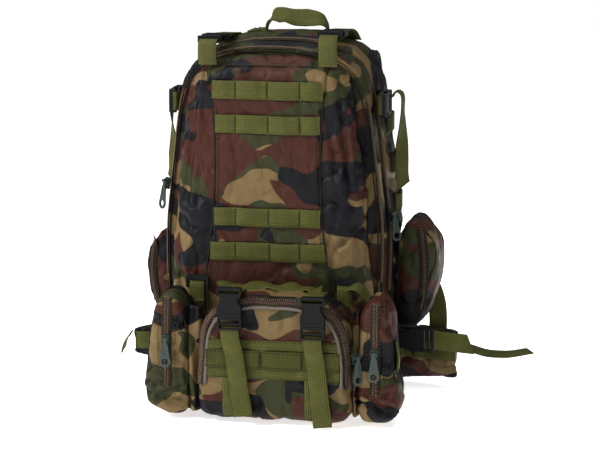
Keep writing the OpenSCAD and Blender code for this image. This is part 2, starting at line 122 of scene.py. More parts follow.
class Graph:
    """Small helper that adds nodes to a material and links them."""

    def __init__(self, name):
        self.material = bpy.data.materials.new(name)
        self.material.use_nodes = True
        self.tree = self.material.node_tree
        self.shader = self.tree.nodes["Principled BSDF"]

    def add(self, kind, **values):
        node = self.tree.nodes.new("ShaderNode" + kind)
        for key, value in values.items():
            if key in node.inputs:
                self.put(node.inputs[key], value)
            else:
                setattr(node, key, value)
        return node

    def put(self, socket, value):
        if isinstance(value, bpy.types.NodeSocket):
            self.tree.links.new(value, socket)
        else:
            socket.default_value = value

    def math(self, operation, a, b=0.0, c=0.0):
        node = self.add("Math", operation=operation)
        for socket, value in zip(node.inputs, (a, b, c)):
            self.put(socket, value)
        return node.outputs[0]

    def step(self, value, low, high):
        """0 below low, 1 above high, and smooth between."""
        node = self.add("MapRange", interpolation_type="SMOOTHSTEP")
        self.put(node.inputs["Value"], value)
        node.inputs["From Min"].default_value = low
        node.inputs["From Max"].default_value = high
        return node.outputs[0]

    def mix(self, factor, a, b, blend="MIX"):
        node = self.add("Mix", data_type="RGBA", blend_type=blend)
        for socket, value in ((node.inputs[0], factor), (node.inputs[6], a), (node.inputs[7], b)):
            self.put(socket, value)
        return node.outputs[2]

    def noise(self, vector, scale, detail=2.0, roughness=0.5):
        node = self.add("TexNoise", Scale=scale, Detail=detail, Roughness=roughness)
        self.tree.links.new(vector, node.inputs["Vector"])
        return node

    def crease(self, place, scale, width):
        """0 along thin wandering lines, rising to 1 on the flat cloth between them."""
        stretched = self.add("Mapping", Scale=(1.0, 1.0, 0.7))
        self.tree.links.new(place, stretched.inputs["Vector"])
        field = self.noise(stretched.outputs[0], scale, 2.0, 0.45).outputs["Fac"]
        return self.step(self.math("ABSOLUTE", self.math("SUBTRACT", field, 0.5)), 0.0, width)

    def finish(self, color=None, roughness=None, height=None, bump=0.3, distance=0.0006, under=None, **fixed):
        if color is not None:
            self.put(self.shader.inputs["Base Color"], color)
        if roughness is not None:
            self.put(self.shader.inputs["Roughness"], roughness)
        if height is not None:
            node = self.add("Bump", Height=height, Strength=bump, Distance=distance)
            if under is not None:
                self.tree.links.new(under, node.inputs["Normal"])
            self.tree.links.new(node.outputs[0], self.shader.inputs["Normal"])
        for key, value in fixed.items():
            self.shader.inputs[key.replace("_", " ")].default_value = value
        return self.material


def rgba(code):
    """Linear colour of an sRGB hex code."""
    parts = [int(code[i:i + 2], 16) / 255 for i in (0, 2, 4)]
    return tuple(c / 12.92 if c <= 0.04045 else ((c + 0.055) / 1.055) ** 2.4 for c in parts) + (1.0,)


CAMO = {"khaki": "7f6c4b", "green": "3f4127", "brown": "502e23", "black": "19181e"}


def weave(g, vector, pitch):
    """Height of a plain weave with the given thread pitch in metres."""
    node = g.add("SeparateXYZ")
    g.tree.links.new(vector, node.inputs[0])
    k = 2 * math.pi / pitch
    along = g.math("SINE", g.math("MULTIPLY", g.math("ADD", node.outputs[0], node.outputs[1]), k))
    up = g.math("SINE", g.math("MULTIPLY", node.outputs[2], k))
    return g.math("MULTIPLY", along, up)


def camo_fabric(name, shift=(0, 0, 0)):
    """Coated woven fabric with a four-colour woodland pattern of interlocking blobs."""
    g = Graph(name)
    place = g.add("TexCoord").outputs["Object"]
    moved = g.add("VectorMath", operation="ADD")
    g.tree.links.new(place, moved.inputs[0])
    moved.inputs[1].default_value = shift
    wobble = g.noise(moved.outputs[0], 15.0, 1.0, 0.5)
    pull = g.add("VectorMath", operation="MULTIPLY_ADD")
    g.tree.links.new(wobble.outputs["Color"], pull.inputs[0])
    pull.inputs[1].default_value = (0.075, 0.075, 0.075)
    g.tree.links.new(moved.outputs[0], pull.inputs[2])

    def blobs(scale, offset, threshold, squash):
        shifted = g.add("Mapping")
        g.tree.links.new(pull.outputs[0], shifted.inputs["Vector"])
        shifted.inputs["Location"].default_value = (offset, offset * 1.7, offset * 0.6)
        shifted.inputs["Rotation"].default_value = (0.0, squash[3], 0.0)
        shifted.inputs["Scale"].default_value = squash[:3]
        field = g.noise(shifted.outputs[0], scale, 0.9, 0.4).outputs["Fac"]
        return g.step(field, threshold - 0.003, threshold + 0.003)

    green = blobs(14.0, 3.1, 0.485, (0.75, 0.9, 1.25, 0.3))
    brown = blobs(12.5, 8.4, 0.505, (0.75, 0.9, 1.2, -0.25))
    black = blobs(15.0, 14.2, 0.570, (0.6, 0.9, 1.45, 0.4))
    color = g.mix(green, rgba(CAMO["khaki"]), rgba(CAMO["green"]))
    color = g.mix(brown, color, rgba(CAMO["brown"]))
    color = g.mix(black, color, rgba(CAMO["black"]))
    worn = g.noise(place, 60.0, 4.0, 0.6).outputs["Fac"]
    color = g.mix(g.math("MULTIPLY", worn, 0.25), color, rgba("120e0c"))
    threads = weave(g, place, 0.0014)
    grain = g.noise(place, 900.0, 2.0).outputs["Fac"]
    height = g.math("ADD", g.math("MULTIPLY", threads, 0.5), grain)
    rough = g.math("ADD", g.math("MULTIPLY", worn, 0.2), 0.36)
    creases = g.crease(place, 17.0, 0.10)
    creases = g.math("ADD", creases, g.math("MULTIPLY", g.crease(place, 38.0, 0.12), 0.45))
    pressed = g.add("Bump", Height=creases, Strength=0.55, Distance=0.0032)
    return g.finish(color, rough, height, 0.3, 0.0004, pressed.outputs[0], Specular_IOR_Level=0.28)


def webbing_material(name, base, ribs=0.0027):
    """Woven webbing: long ribs across the UV width with furrows painted dark as shade, and fine picks along
    it.
    """
    g = Graph(name)
    uv = g.add("TexCoord").outputs["UV"]
    node = g.add("SeparateXYZ")
    g.tree.links.new(uv, node.inputs[0])
    k = 2 * math.pi / ribs
    rib = g.math("COSINE", g.math("MULTIPLY", node.outputs[1], k))
    shifted = g.math("ADD", node.outputs[0], g.math("MULTIPLY", rib, 0.0005))
    pick = g.math("SINE", g.math("MULTIPLY", shifted, k * 1.2))
    height = g.math("ADD", g.math("MULTIPLY", rib, 0.6), g.math("MULTIPLY", pick, 0.4))
    shade = g.noise(uv, 45.0, 3.0, 0.6).outputs["Fac"]
    light = rgba(base)
    # dark is a shaded copy of the webbing colour; the mix below paints it into the furrows between the ribs
    # as painted shade
    dark = tuple(c * 0.42 for c in light[:3]) + (1.0,)
    pale = tuple(min(1.0, c * 1.45) for c in light[:3]) + (1.0,)
    color = g.mix(g.step(height, -0.95, 0.15), dark, light)
    color = g.mix(g.math("MULTIPLY", g.step(shade, 0.4, 0.8), 0.4), color, pale)
    return g.finish(color, 0.55, height, 0.6, 0.0006, Specular_IOR_Level=0.25)


def moulded_plastic(name, base, roughness):
    """Faintly grained plastic with handling smears."""
    g = Graph(name)
    place = g.add("TexCoord").outputs["Object"]
    grain = g.noise(place, 1400.0, 3.0, 0.6).outputs["Fac"]
    smear = g.noise(place, 90.0, 4.0, 0.6).outputs["Fac"]
    color = g.mix(smear, rgba(base), tuple(c * 1.8 + 0.004 for c in rgba(base)[:3]) + (1.0,))
    rough = g.math("ADD", g.math("MULTIPLY", smear, 0.2), roughness)
    return g.finish(color, rough, grain, 0.15, 0.0002, Specular_IOR_Level=0.30)


def painted_metal(name, base):
    """Enamelled metal with a few small chips."""
    g = Graph(name)
    place = g.add("TexCoord").outputs["Object"]
    smear = g.noise(place, 260.0, 4.0, 0.65).outputs["Fac"]
    chips = g.step(g.noise(place, 700.0, 2.0).outputs["Fac"], 0.70, 0.74)
    color = g.mix(smear, rgba(base), tuple(c * 1.6 for c in rgba(base)[:3]) + (1.0,))
    color = g.mix(g.math("MULTIPLY", chips, 0.6), color, rgba("8a8f8a"))
    rough = g.math("ADD", g.math("MULTIPLY", smear, 0.2), 0.3)
    return g.finish(color, rough, smear, 0.12, 0.0002, Specular_IOR_Level=0.55, Coat_Weight=0.15)


def plain_cloth(name, base, pitch, roughness=0.75, hole_shade=0.0):
    """Plain dyed cloth; with a pit amount above zero it is a spacer mesh whose pits are painted near-black as
    painted shade.
    """
    g = Graph(name)
    place = g.add("TexCoord").outputs["Object"]
    threads = weave(g, place, pitch)
    wear = g.noise(place, 50.0, 4.0, 0.6).outputs["Fac"]
    light = rgba(base)
    color = g.mix(g.math("MULTIPLY", wear, 0.5), light, tuple(c * 0.5 for c in light[:3]) + (1.0,))
    # painted shade: the pits of the spacer mesh are coloured near-black
    if hole_shade:
        color = g.mix(g.math("MULTIPLY", g.step(threads, 0.2, 0.8), hole_shade), color, rgba("050506"))
    return g.finish(color, roughness, threads, 0.5, 0.0006)


def aluminium(name):
    """Bare metal brushed lengthways."""
    g = Graph(name)
    place = g.add("TexCoord").outputs["Object"]
    brushed = g.add("Mapping", Scale=(900, 900, 12))
    g.tree.links.new(place, brushed.inputs["Vector"])
    lines = g.noise(brushed.outputs[0], 1.0, 2.0).outputs["Fac"]
    rough = g.math("ADD", g.math("MULTIPLY", lines, 0.2), 0.28)
    return g.finish(rgba("b8babd"), rough, lines, 0.15, 0.0001, Metallic=1.0)


MATERIALS = {
    "camo": camo_fabric("camo_oxford"),
    "camo_front": camo_fabric("camo_front_panel", (0.4, 0.1, 0.21)),
    "camo_middle": camo_fabric("camo_middle", (1.3, 0.6, 0.35)),
    "camo_pouch": camo_fabric("camo_pouch", (2.1, 0.2, 0.7)),
    "lining": plain_cloth("black_lining", "1b1b1e", 0.0012, 0.6),
    "webbing": webbing_material("olive_webbing", "5c5d30"),
    "webbing_dark": webbing_material("olive_band", "505226"),
    "plastic": moulded_plastic("buckle_acetal", "0c0d10", 0.30),
    "frame_sheet": moulded_plastic("frame_sheet_plastic", "202022", 0.5),
    "coil": moulded_plastic("zipper_coil_nylon", "6b5a4e", 0.38),
    "tape": plain_cloth("zipper_tape", "2e221d", 0.0009, 0.7),
    "piping": plain_cloth("piping_cover", "7d736b", 0.0011, 0.4),
    "metal": painted_metal("slider_enamel", "2c3833"),
    "mesh": plain_cloth("air_mesh", "1f2022", 0.0032, 0.85, 0.9),
    "binding": plain_cloth("black_binding", "17171a", 0.0016, 0.7),
    "thread": plain_cloth("olive_thread", "59602c", 0.0008, 0.6),
    # dark thread for stitches; the same material also colours thin tubes along sewn edges as painted shade of
    # their grooves
    "dark_thread_and_groove_shade": plain_cloth("dark_thread_and_groove_shade", "2a2d17", 0.0008, 0.6),
    "tack": plain_cloth("bartack_thread", "3c4220", 0.0008, 0.6),
    "aluminium": aluminium("stay_aluminium"),
}


# ---- mesh helpers ---------------------------------------------------------------------------

def grid_faces(rows, columns):
    """Quads over a grid of points that were listed row by row."""
    faces = []
    for j in range(rows):
        for i in range(columns):
            a = j * (columns + 1) + i
            faces.append((a, a + 1, a + columns + 2, a + columns + 1))
    return faces


def new_object(name, vertices, faces, material, uvs=None):
    """Smooth-shaded mesh object with one material."""
    mesh = bpy.data.meshes.new(name)
    mesh.from_pydata([tuple(v) for v in vertices], [], faces)
    mesh.materials.append(MATERIALS[material])
    if uvs is not None:
        layer = mesh.uv_layers.new(name="UVMap")
        for loop in mesh.loops:
            layer.data[loop.index].uv = uvs[loop.vertex_index]
    mesh.polygons.foreach_set("use_smooth", [True] * len(mesh.polygons))
    mesh.update()
    obj = bpy.data.objects.new(name, mesh)
    scene.collection.objects.link(obj)
    return obj


def ride(obj, body, slot, *replaced):
    """Names the piece's body and hides the CAD nodes that it stands for; slot is not used."""
    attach(obj, body)
    if replaced:
        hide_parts(*replaced)
    return obj


def evaluated_mesh(obj):
    """Applies all modifiers and leaves one plain mesh."""
    graph = bpy.context.evaluated_depsgraph_get()
    mesh = bpy.data.meshes.new_from_object(obj.evaluated_get(graph), depsgraph=graph)
    obj.modifiers.clear()
    old = obj.data
    obj.data = mesh
    bpy.data.meshes.remove(old)
    return obj


def coordinates(obj):
    """Points of a mesh as an array."""
    flat = np.zeros(len(obj.data.vertices) * 3)
    obj.data.vertices.foreach_get("co", flat)
    return flat.reshape(-1, 3)


def set_coordinates(obj, points):
    """Writes the points back."""
    obj.data.vertices.foreach_set("co", np.asarray(points).ravel())
    obj.data.update()


def normals(obj):
    """Outward direction at each point."""
    flat = np.zeros(len(obj.data.vertices) * 3)
    obj.data.vertices.foreach_get("normal", flat)
    return flat.reshape(-1, 3)


def hull_of(node, name, material, shrink=0.0):
    """Closed convex copy of a CAD node, pulled in by shrink metres."""
    bm = bmesh.new()
    bm.from_mesh(nodes[node].data)
    made = bmesh.ops.convex_hull(bm, input=bm.verts)
    extra = set(made["geom_interior"]) | set(made["geom_unused"])
    bmesh.ops.delete(bm, geom=[v for v in extra if isinstance(v, bmesh.types.BMVert)], context="VERTS")
    keep = set(f for f in made["geom"] if isinstance(f, bmesh.types.BMFace))
    bmesh.ops.delete(bm, geom=[f for f in bm.faces if f not in keep], context="FACES_ONLY")
    points = np.array([v.co for v in bm.verts])
    middle = (points.min(0) + points.max(0)) / 2
    half = (points.max(0) - points.min(0)) / 2
    for v, p in zip(bm.verts, points):
        v.co = middle + (p - middle) * (half - shrink) / half
    mesh = bpy.data.meshes.new(name)
    bm.to_mesh(mesh)
    bm.free()
    mesh.materials.append(MATERIALS[material])
    obj = bpy.data.objects.new(name, mesh)
    scene.collection.objects.link(obj)
    return obj


def remesh(obj, voxel):
    """Even, closed and slightly smoothed mesh for the cloth to start from."""
    mod = obj.modifiers.new("remesh", "REMESH")
    mod.mode = "VOXEL"
    mod.voxel_size = voxel
    mod.use_smooth_shade = True
    evaluated_mesh(obj)
    smooth = obj.modifiers.new("smooth", "SMOOTH")
    smooth.factor = 0.5
    smooth.iterations = 3
    return evaluated_mesh(obj)


def inflate(obj, pressure, cap, pinned, slack=0.03, frames=20):
    """Cloth simulation: the bag fills a little while its seams hold; pinned gives each point a weight."""
    before = coordinates(obj)
    group = obj.vertex_groups.new(name="pin")
    weights = pinned(before)
    for i, w in enumerate(weights):
        if w > 0:
            group.add([i], float(w), "REPLACE")
    cloth = obj.modifiers.new("cloth", "CLOTH")
    settings = cloth.settings
    settings.quality = 4
    settings.mass = 0.25
    settings.tension_stiffness = 12
    settings.compression_stiffness = 12
    settings.shear_stiffness = 6
    settings.bending_stiffness = 0.35
    settings.use_pressure = True
    settings.uniform_pressure_force = pressure
    settings.shrink_min = -slack
    settings.vertex_group_mass = "pin"
    settings.effector_weights.gravity = 0
    cloth.point_cache.frame_start = 1
    cloth.point_cache.frame_end = frames
    for f in range(1, frames + 1):
        scene.frame_set(f)
    evaluated_mesh(obj)
    scene.frame_set(1)
    after = coordinates(obj)
    move = after - before
    length = np.linalg.norm(move, axis=1, keepdims=True)
    limit = np.minimum(1.0, cap / np.maximum(length, 1e-9))
    set_coordinates(obj, before + move * limit)
    obj.vertex_groups.clear()
    return obj


def subdivide(obj, levels=1):
    """Rounds the mesh off."""
    mod = obj.modifiers.new("subdivision", "SUBSURF")
    mod.levels = levels
    mod.render_levels = levels
    return evaluated_mesh(obj)


def crumple(obj, depth, size, stretch=(1, 1, 1), seed=0.0, weight=None):
    """Presses in creases, sharp valleys and soft ridges at three scales, deepest where weight is 1."""
    points = coordinates(obj)
    outward = normals(obj)
    scale = np.array(stretch) / size
    moved = points.copy()
    for i, p in enumerate(points):
        q = Vector(p * scale) + Vector((seed, seed * 1.3, seed * 0.7))
        bend = noise.noise_vector(q * 0.55) * 1.1
        a = 1.0 - min(1.0, abs(noise.noise(q + bend)) * 2.4)
        b = 1.0 - min(1.0, abs(noise.noise(q * 2.1 + bend * 1.4 + Vector((5, 2, 9)))) * 2.6)
        c = 1.0 - min(1.0, abs(noise.noise(q * 4.3 - bend + Vector((1, 7, 3)))) * 2.8)
        soft = noise.noise(q * 0.5 + Vector((4, 4, 1)))
        w = 1.0 if weight is None else weight(p)
        patch = 0.35 + 0.65 * max(0.0, min(1.0, 0.5 + 1.6 * noise.noise(q * 0.35 + Vector((9, 1, 2)))))
        creases = 0.25 * b * b - 0.75 * a ** 4 - 0.30 * b ** 5 - 0.12 * c ** 4
        moved[i] += outward[i] * depth * w * (0.8 * soft + patch * creases)
    set_coordinates(obj, moved)


def fold(obj, start, end, width, depth, ridge=0.5):
    """One crease from start to end, with a ridge along each side of it."""
    a, b = np.array(start), np.array(end)
    points = coordinates(obj)
    outward = normals(obj)
    along = b - a
    t = np.clip((points - a) @ along / (along @ along), 0, 1)
    distance = np.linalg.norm(points - (a + t[:, None] * along), axis=1)
    fade = np.sin(np.pi * np.clip(t * 0.9 + 0.05, 0, 1)) ** 0.6
    valley = np.exp(-(distance / width) ** 2)
    banks = np.exp(-((distance - 2.0 * width) / width) ** 2)
    set_coordinates(obj, points + outward * ((ridge * banks - valley) * depth * fade)[:, None])


def surface(*objs):
    """Ray target made of several pieces."""
    vertices, faces = [], []
    for obj in objs:
        base = len(vertices)
        vertices.extend(v.co.copy() for v in obj.data.vertices)
        faces.extend([base + i for i in p.vertices] for p in obj.data.polygons)
    return BVHTree.FromPolygons(vertices, faces)


def drop(tree, point, direction, lift=0.0):
    """Where a point moved along direction meets the surface, lifted back off it."""
    direction = Vector(direction).normalized()
    start = Vector(point) - direction * 0.3
    hit = tree.ray_cast(start, direction)[0]
    return (hit if hit is not None else Vector(point)) - direction * lift


def smooth_path(points, step=0.004):
    """Catmull-Rom curve through the points, at an even step."""
    p = [Vector(q) for q in points]
    p = [p[0] * 2 - p[1]] + p + [p[-1] * 2 - p[-2]]
    dense = []
    for i in range(1, len(p) - 2):
        count = max(2, int((p[i + 1] - p[i]).length / (step * 0.25)))
        for k in range(count):
            t = k / count
            dense.append(0.5 * ((2 * p[i]) + (p[i + 1] - p[i - 1]) * t
                                + (2 * p[i - 1] - 5 * p[i] + 4 * p[i + 1] - p[i + 2]) * t * t
                                + (3 * p[i] - p[i - 1] - 3 * p[i + 1] + p[i + 2]) * t * t * t))
    dense.append(p[-2])
    out, gone = [dense[0]], 0.0
    for a, b in zip(dense, dense[1:]):
        gone += (b - a).length
        if gone >= step:
            out.append(b)
            gone = 0.0
    if (out[-1] - dense[-1]).length > step * 0.3:
        out.append(dense[-1])
    else:
        out[-1] = dense[-1]
    return out


def eased(path, rounds=6):
    """Evens out a path that was read off creased cloth."""
    points = [Vector(p) for p in path]
    for _ in range(rounds):
        inner = [(a + b * 2 + c) / 4 for a, b, c in zip(points, points[1:], points[2:])]
        points = [points[0]] + inner + [points[-1]]
    return points


def hugging(tree):
    """Width direction of a ribbon that lies flat on the surface, with its outer face outward."""
    def across(point, tangent):
        normal = tree.find_nearest(point)[1]
        return normal.cross(tangent)
    return across


def frames_along(centre, across):
    """Tangent, width direction and outward normal at each point of a ribbon's centre line."""
    frames = []
    last = len(centre) - 1
    for i, c in enumerate(centre):
        tangent = (centre[min(i + 1, last)] - centre[max(i - 1, 0)]).normalized()
        if callable(across):
            side = across(c, tangent)
        elif isinstance(across, list):
            at = i / last * (len(across) - 1)
            low = min(int(at), len(across) - 2)
            side = Vector(across[low]).lerp(Vector(across[low + 1]), at - low)
        else:
            side = Vector(across)
        side = (side - tangent * side.dot(tangent)).normalized()
        frames.append((tangent, side, tangent.cross(side)))
    return frames


STRAP_SECTION = [(-0.5, 0.0), (-0.47, 0.5), (-0.2, 0.45), (0.2, 0.45), (0.47, 0.5),
                 (0.5, 0.0), (0.47, -0.5), (0.2, -0.45), (-0.2, -0.45), (-0.47, -0.5)]


def strap(name, path, across, width, material="webbing", thick=0.0016, step=0.004, wave=0.0, cut=0.0,
          gather=0.0):
    """Flat webbing swept along a path; cut slants its far end and gather narrows both ends."""
    centre = smooth_path(path, step)
    vertices, faces, uvs = [], [], []
    ring = len(STRAP_SECTION)
    run = 0.0
    last = len(centre) - 1
    for i, (tangent, side, normal) in enumerate(frames_along(centre, across)):
        if i:
            run += (centre[i] - centre[i - 1]).length
        narrow = 1 - gather * max(0.0, 1 - min(i, last - i) / 6)
        ripple = wave * noise.noise(Vector((run * 35, width * 50, len(name))))
        for u, v in STRAP_SECTION:
            slant = cut * (u + 0.5) * max(0.0, 1 - (last - i) / 4)
            bulge = 1.0 + 0.012 * noise.noise(Vector((run * 120, u * 3, 4)))
            vertices.append(centre[i] + side * (u * width * bulge * narrow) + normal * (v * thick + ripple)
                            - tangent * slant)
            uvs.append((run, u * width))
    for i in range(last):
        for k in range(ring):
            a, b = i * ring + k, i * ring + (k + 1) % ring
            faces.append((a, b, b + ring, a + ring))
    faces.append(tuple(range(ring)))
    faces.append(tuple(last * ring + k for k in reversed(range(ring))))
    return new_object(name, vertices, faces, material, uvs)


def beads(name, path, across, size, pitch, material, offsets=(0.0,), lift=0.0):
    """A row of small rounded blocks: zipper teeth, stitches or a bartack. size is along, across, high."""
    centre = smooth_path(path, pitch)
    vertices, faces = [], []
    for i, (tangent, side, normal) in enumerate(frames_along(centre, across)):
        for row, offset in enumerate(offsets):
            c = centre[i] + side * offset + normal * lift + tangent * (pitch * 0.5 * row)
            base = len(vertices)
            for high, scale in ((-0.5, 1.0), (0.5, 0.62)):
                for a, b in ((-0.5, -0.5), (0.5, -0.5), (0.5, 0.5), (-0.5, 0.5)):
                    vertices.append(c + tangent * (a * size[0] * scale) + side * (b * size[1] * scale)
                                    + normal * (high * size[2]))
            faces += [tuple(base + k for k in f) for f in
                      ((3, 2, 1, 0), (4, 5, 6, 7), (0, 1, 5, 4), (1, 2, 6, 5), (2, 3, 7, 6), (3, 0, 4, 7))]
    return new_object(name, vertices, faces, material)


def tube(name, path, radius, material, step=0.005, sides=8):
    """Round piping along a path."""
    centre = smooth_path(path, step)
    vertices, faces = [], []
    for c, (_, a, b) in zip(centre, frames_along(centre, (0.31, 0.52, 0.79))):
        for k in range(sides):
            t = 2 * math.pi * k / sides
            vertices.append(c + (a * math.cos(t) + b * math.sin(t)) * radius)
    for i in range(len(centre) - 1):
        for k in range(sides):
            p, q = i * sides + k, i * sides + (k + 1) % sides
            faces.append((p, q, q + sides, p + sides))
    faces.append(tuple(reversed(range(sides))))
    faces.append(tuple(range(len(vertices) - sides, len(vertices))))
    return new_object(name, vertices, faces, material)


def join(name, parts):
    """Makes one piece of several, with each part's own material."""
    for o in bpy.context.selected_objects:
        o.select_set(False)
    for p in parts:
        p.select_set(True)
    bpy.context.view_layer.objects.active = parts[0]
    if len(parts) > 1:
        bpy.ops.object.join()
    parts[0].name = name
    parts[0].data.name = name
    return parts[0]


def stitches(path, across, lift=0.0006, material="dark_thread_and_groove_shade", offset=0.0):
    """A row of single stitches."""
    return beads("stitches", path, across, (0.0032, 0.0009, 0.0007), 0.0048, material, (offset,), lift)


def zipper(path, across, tape=0.013, lift=0.0, coil=0.0026):
    """Coil zipper: cloth tape with two interlocked rows of coil and a stitched line on each side."""
    return [strap("tape", path, across, tape, "tape", 0.0008, 0.005),
            beads("coil", path, across, (0.0014, coil, 0.0018), 0.0024, "coil", (-coil * 0.46, coil * 0.46),
                  lift + 0.0011),
            stitches(path, across, 0.0007, "thread", tape * 0.40),
            stitches(path, across, 0.0007, "thread", -tape * 0.40)]


def bartack(place, across, direction, length=0.021, material="tack"):
    """Dense zigzag bar that holds webbing down."""
    a = Vector(place) - Vector(direction) * length / 2
    b = Vector(place) + Vector(direction) * length / 2
    return beads("bartack", [a, (a + b) / 2, b], across, (0.0007, 0.0022, 0.0008), 0.00115, material)


# ---- bags -----------------------------------------------------------------------------------

def sewn_at(*depths, reach=0.006):
    """Pins the cloth near the depths where it is sewn."""
    def weights(points):
        near = np.min([np.abs(points[:, 1] - y) for y in depths], axis=0)
        return np.clip(1.6 - near / reach, 0, 1)
    return weights


def soft_bag(name, node, material, voxel, pressure, cap, pinned, shrink=0.0015):
    """Filled cloth bag in the shape of a CAD node's hull."""
    bag = hull_of(node, name, material, shrink)
    remesh(bag, voxel)
    inflate(bag, pressure, cap, pinned)
    return subdivide(bag)


def open_front(bag, depth, cover, ledge=0.012, thickness=0.0024):
    """Cuts the face away behind the next compartment, leaves a ledge round it and adds a lining."""
    bm = bmesh.new()
    bm.from_mesh(bag.data)
    gone = []
    for face in bm.faces:
        c = face.calc_center_median()
        if c.y < depth and face.normal.y < -0.6:
            out = Vector((c.x, 0, c.z - 0.25)).normalized() * ledge
            if cover.ray_cast(c + out, (0, -1, 0))[0] is not None:
                gone.append(face)
    bmesh.ops.delete(bm, geom=gone, context="FACES")
    bm.to_mesh(bag.data)
    bm.free()
    bag.data.materials.append(MATERIALS["lining"])
    solid = bag.modifiers.new("lining", "SOLIDIFY")
    solid.thickness = thickness
    solid.offset = -1
    solid.material_offset = 1
    evaluated_mesh(bag)


def square_rim(bag, *depths, reach=0.007):
    """Gives back the flat face beside a seam that smoothing rounded off."""
    points = coordinates(bag)
    for depth in depths:
        near = np.abs(points[:, 1] - depth) < reach
        points[near, 1] = depth + (points[near, 1] - depth) * 0.25
    set_coordinates(bag, points)


def rim_path(tree, y, low_right, low_left, centre=(0.0, 0.26), half=0.15, lift=0.0, count=70):
    """Round a bag's outline at depth y, from one side's height over the top to the other side's."""
    middle = Vector((centre[0], y, centre[1]))
    start = math.atan2(low_right - centre[1], half)
    end = math.pi - math.atan2(low_left - centre[1], half)
    points = []
    for i in range(count + 1):
        a = start + (end - start) * i / count
        out = Vector((math.cos(a), 0, math.sin(a)))
        hit, normal, _, _ = tree.ray_cast(middle + out * 0.6, -out)
        points.append(hit + normal * lift)
    return points


REAR_Y, REAR_FRONT_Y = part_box("rear_compartment")[1][1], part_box("rear_compartment")[0][1]
MIDDLE_BACK_Y, MIDDLE_FRONT_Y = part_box("middle_compartment")[1][1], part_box("middle_compartment")[0][1]
FRONT_BACK_Y, FRONT_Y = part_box("front_pocket")[1][1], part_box("front_pocket")[0][1]


def low_creases(p):
    """Cloth creases more towards the bottom, where the weight rests."""
    return 0.35 + 0.65 * max(0.0, 1 - p[2] / 0.25)


def slope_top(bag, back, front, drop_back, drop_front):
    """Lets a bag's top fall away forwards."""
    points = coordinates(bag)
    forward = np.clip((back - points[:, 1]) / (back - front), 0, 1)
    fall = drop_back + (drop_front - drop_back) * forward
    points[:, 2] -= fall * (points[:, 2] / points[:, 2].max()) ** 6
    set_coordinates(bag, points)


def make_rear_bag(cover):
    """Main compartment, open at the front behind the middle one."""
    bag = soft_bag("bag_rear", "rear_compartment", "camo", 0.0075, 3.0, 0.007,
                   sewn_at(REAR_Y, REAR_FRONT_Y, reach=0.009))
    crumple(bag, 0.0062, 0.075, (1, 1, 0.7), 3.0, low_creases)
    square_rim(bag, REAR_FRONT_Y)
    tree = surface(bag)
    open_front(bag, REAR_FRONT_Y + 0.008, cover)
    ride(bag, "pack", "camo_fabric", "rear_compartment")
    return tree


def make_middle_bag(cover):
    """Second compartment, open at the front behind the front one."""
    bag = soft_bag("bag_middle", "middle_compartment", "camo_middle", 0.0065, 3.0, 0.006,
                   sewn_at(MIDDLE_BACK_Y, MIDDLE_FRONT_Y, reach=0.007))
    slope_top(bag, MIDDLE_BACK_Y, MIDDLE_FRONT_Y, 0.0, 0.008)
    crumple(bag, 0.0062, 0.06, (1, 1, 0.6), 8.0, low_creases)
    square_rim(bag, MIDDLE_BACK_Y, MIDDLE_FRONT_Y)
    tree = surface(bag)
    open_front(bag, MIDDLE_FRONT_Y + 0.008, cover)
    ride(bag, "middle", "camo_fabric", "middle_compartment")
    return tree


def make_front_bag():
    """Front compartment, with long folds down both sides."""
    bag = soft_bag("bag_front", "front_pocket", "camo_front", 0.006, 3.0, 0.006,
                   sewn_at(FRONT_BACK_Y, reach=0.009))
    slope_top(bag, FRONT_BACK_Y, FRONT_Y, 0.008, 0.020)
    crumple(bag, 0.0075, 0.05, (1, 1, 0.8), 12.0, lambda p: 0.45 + 0.55 * min(1.0, (p[0] / 0.085) ** 4))
    for x0, z0, x1, z1, depth in ((-0.098, 0.44, -0.112, 0.28, 0.005), (-0.090, 0.33, -0.104, 0.19, 0.004),
                                  (0.096, 0.45, 0.112, 0.28, 0.006), (0.088, 0.36, 0.104, 0.21, 0.005),
                                  (0.120, 0.30, 0.124, 0.18, 0.004), (-0.125, 0.24, -0.118, 0.13, 0.004)):
        fold(bag, (x0, FRONT_Y, z0), (x1, FRONT_Y, z1), 0.0045, depth * 0.75, 0.5)
    square_rim(bag, FRONT_BACK_Y)
    ride(bag, "front", "camo_fabric", "front_pocket")
    return surface(bag)


def panel_half(z):
    """Half width of the front panel, narrowest at mid height."""
    return 0.071 + 0.013 * (max(z, 0.175) / 0.15 - 0.335 / 0.15) ** 2


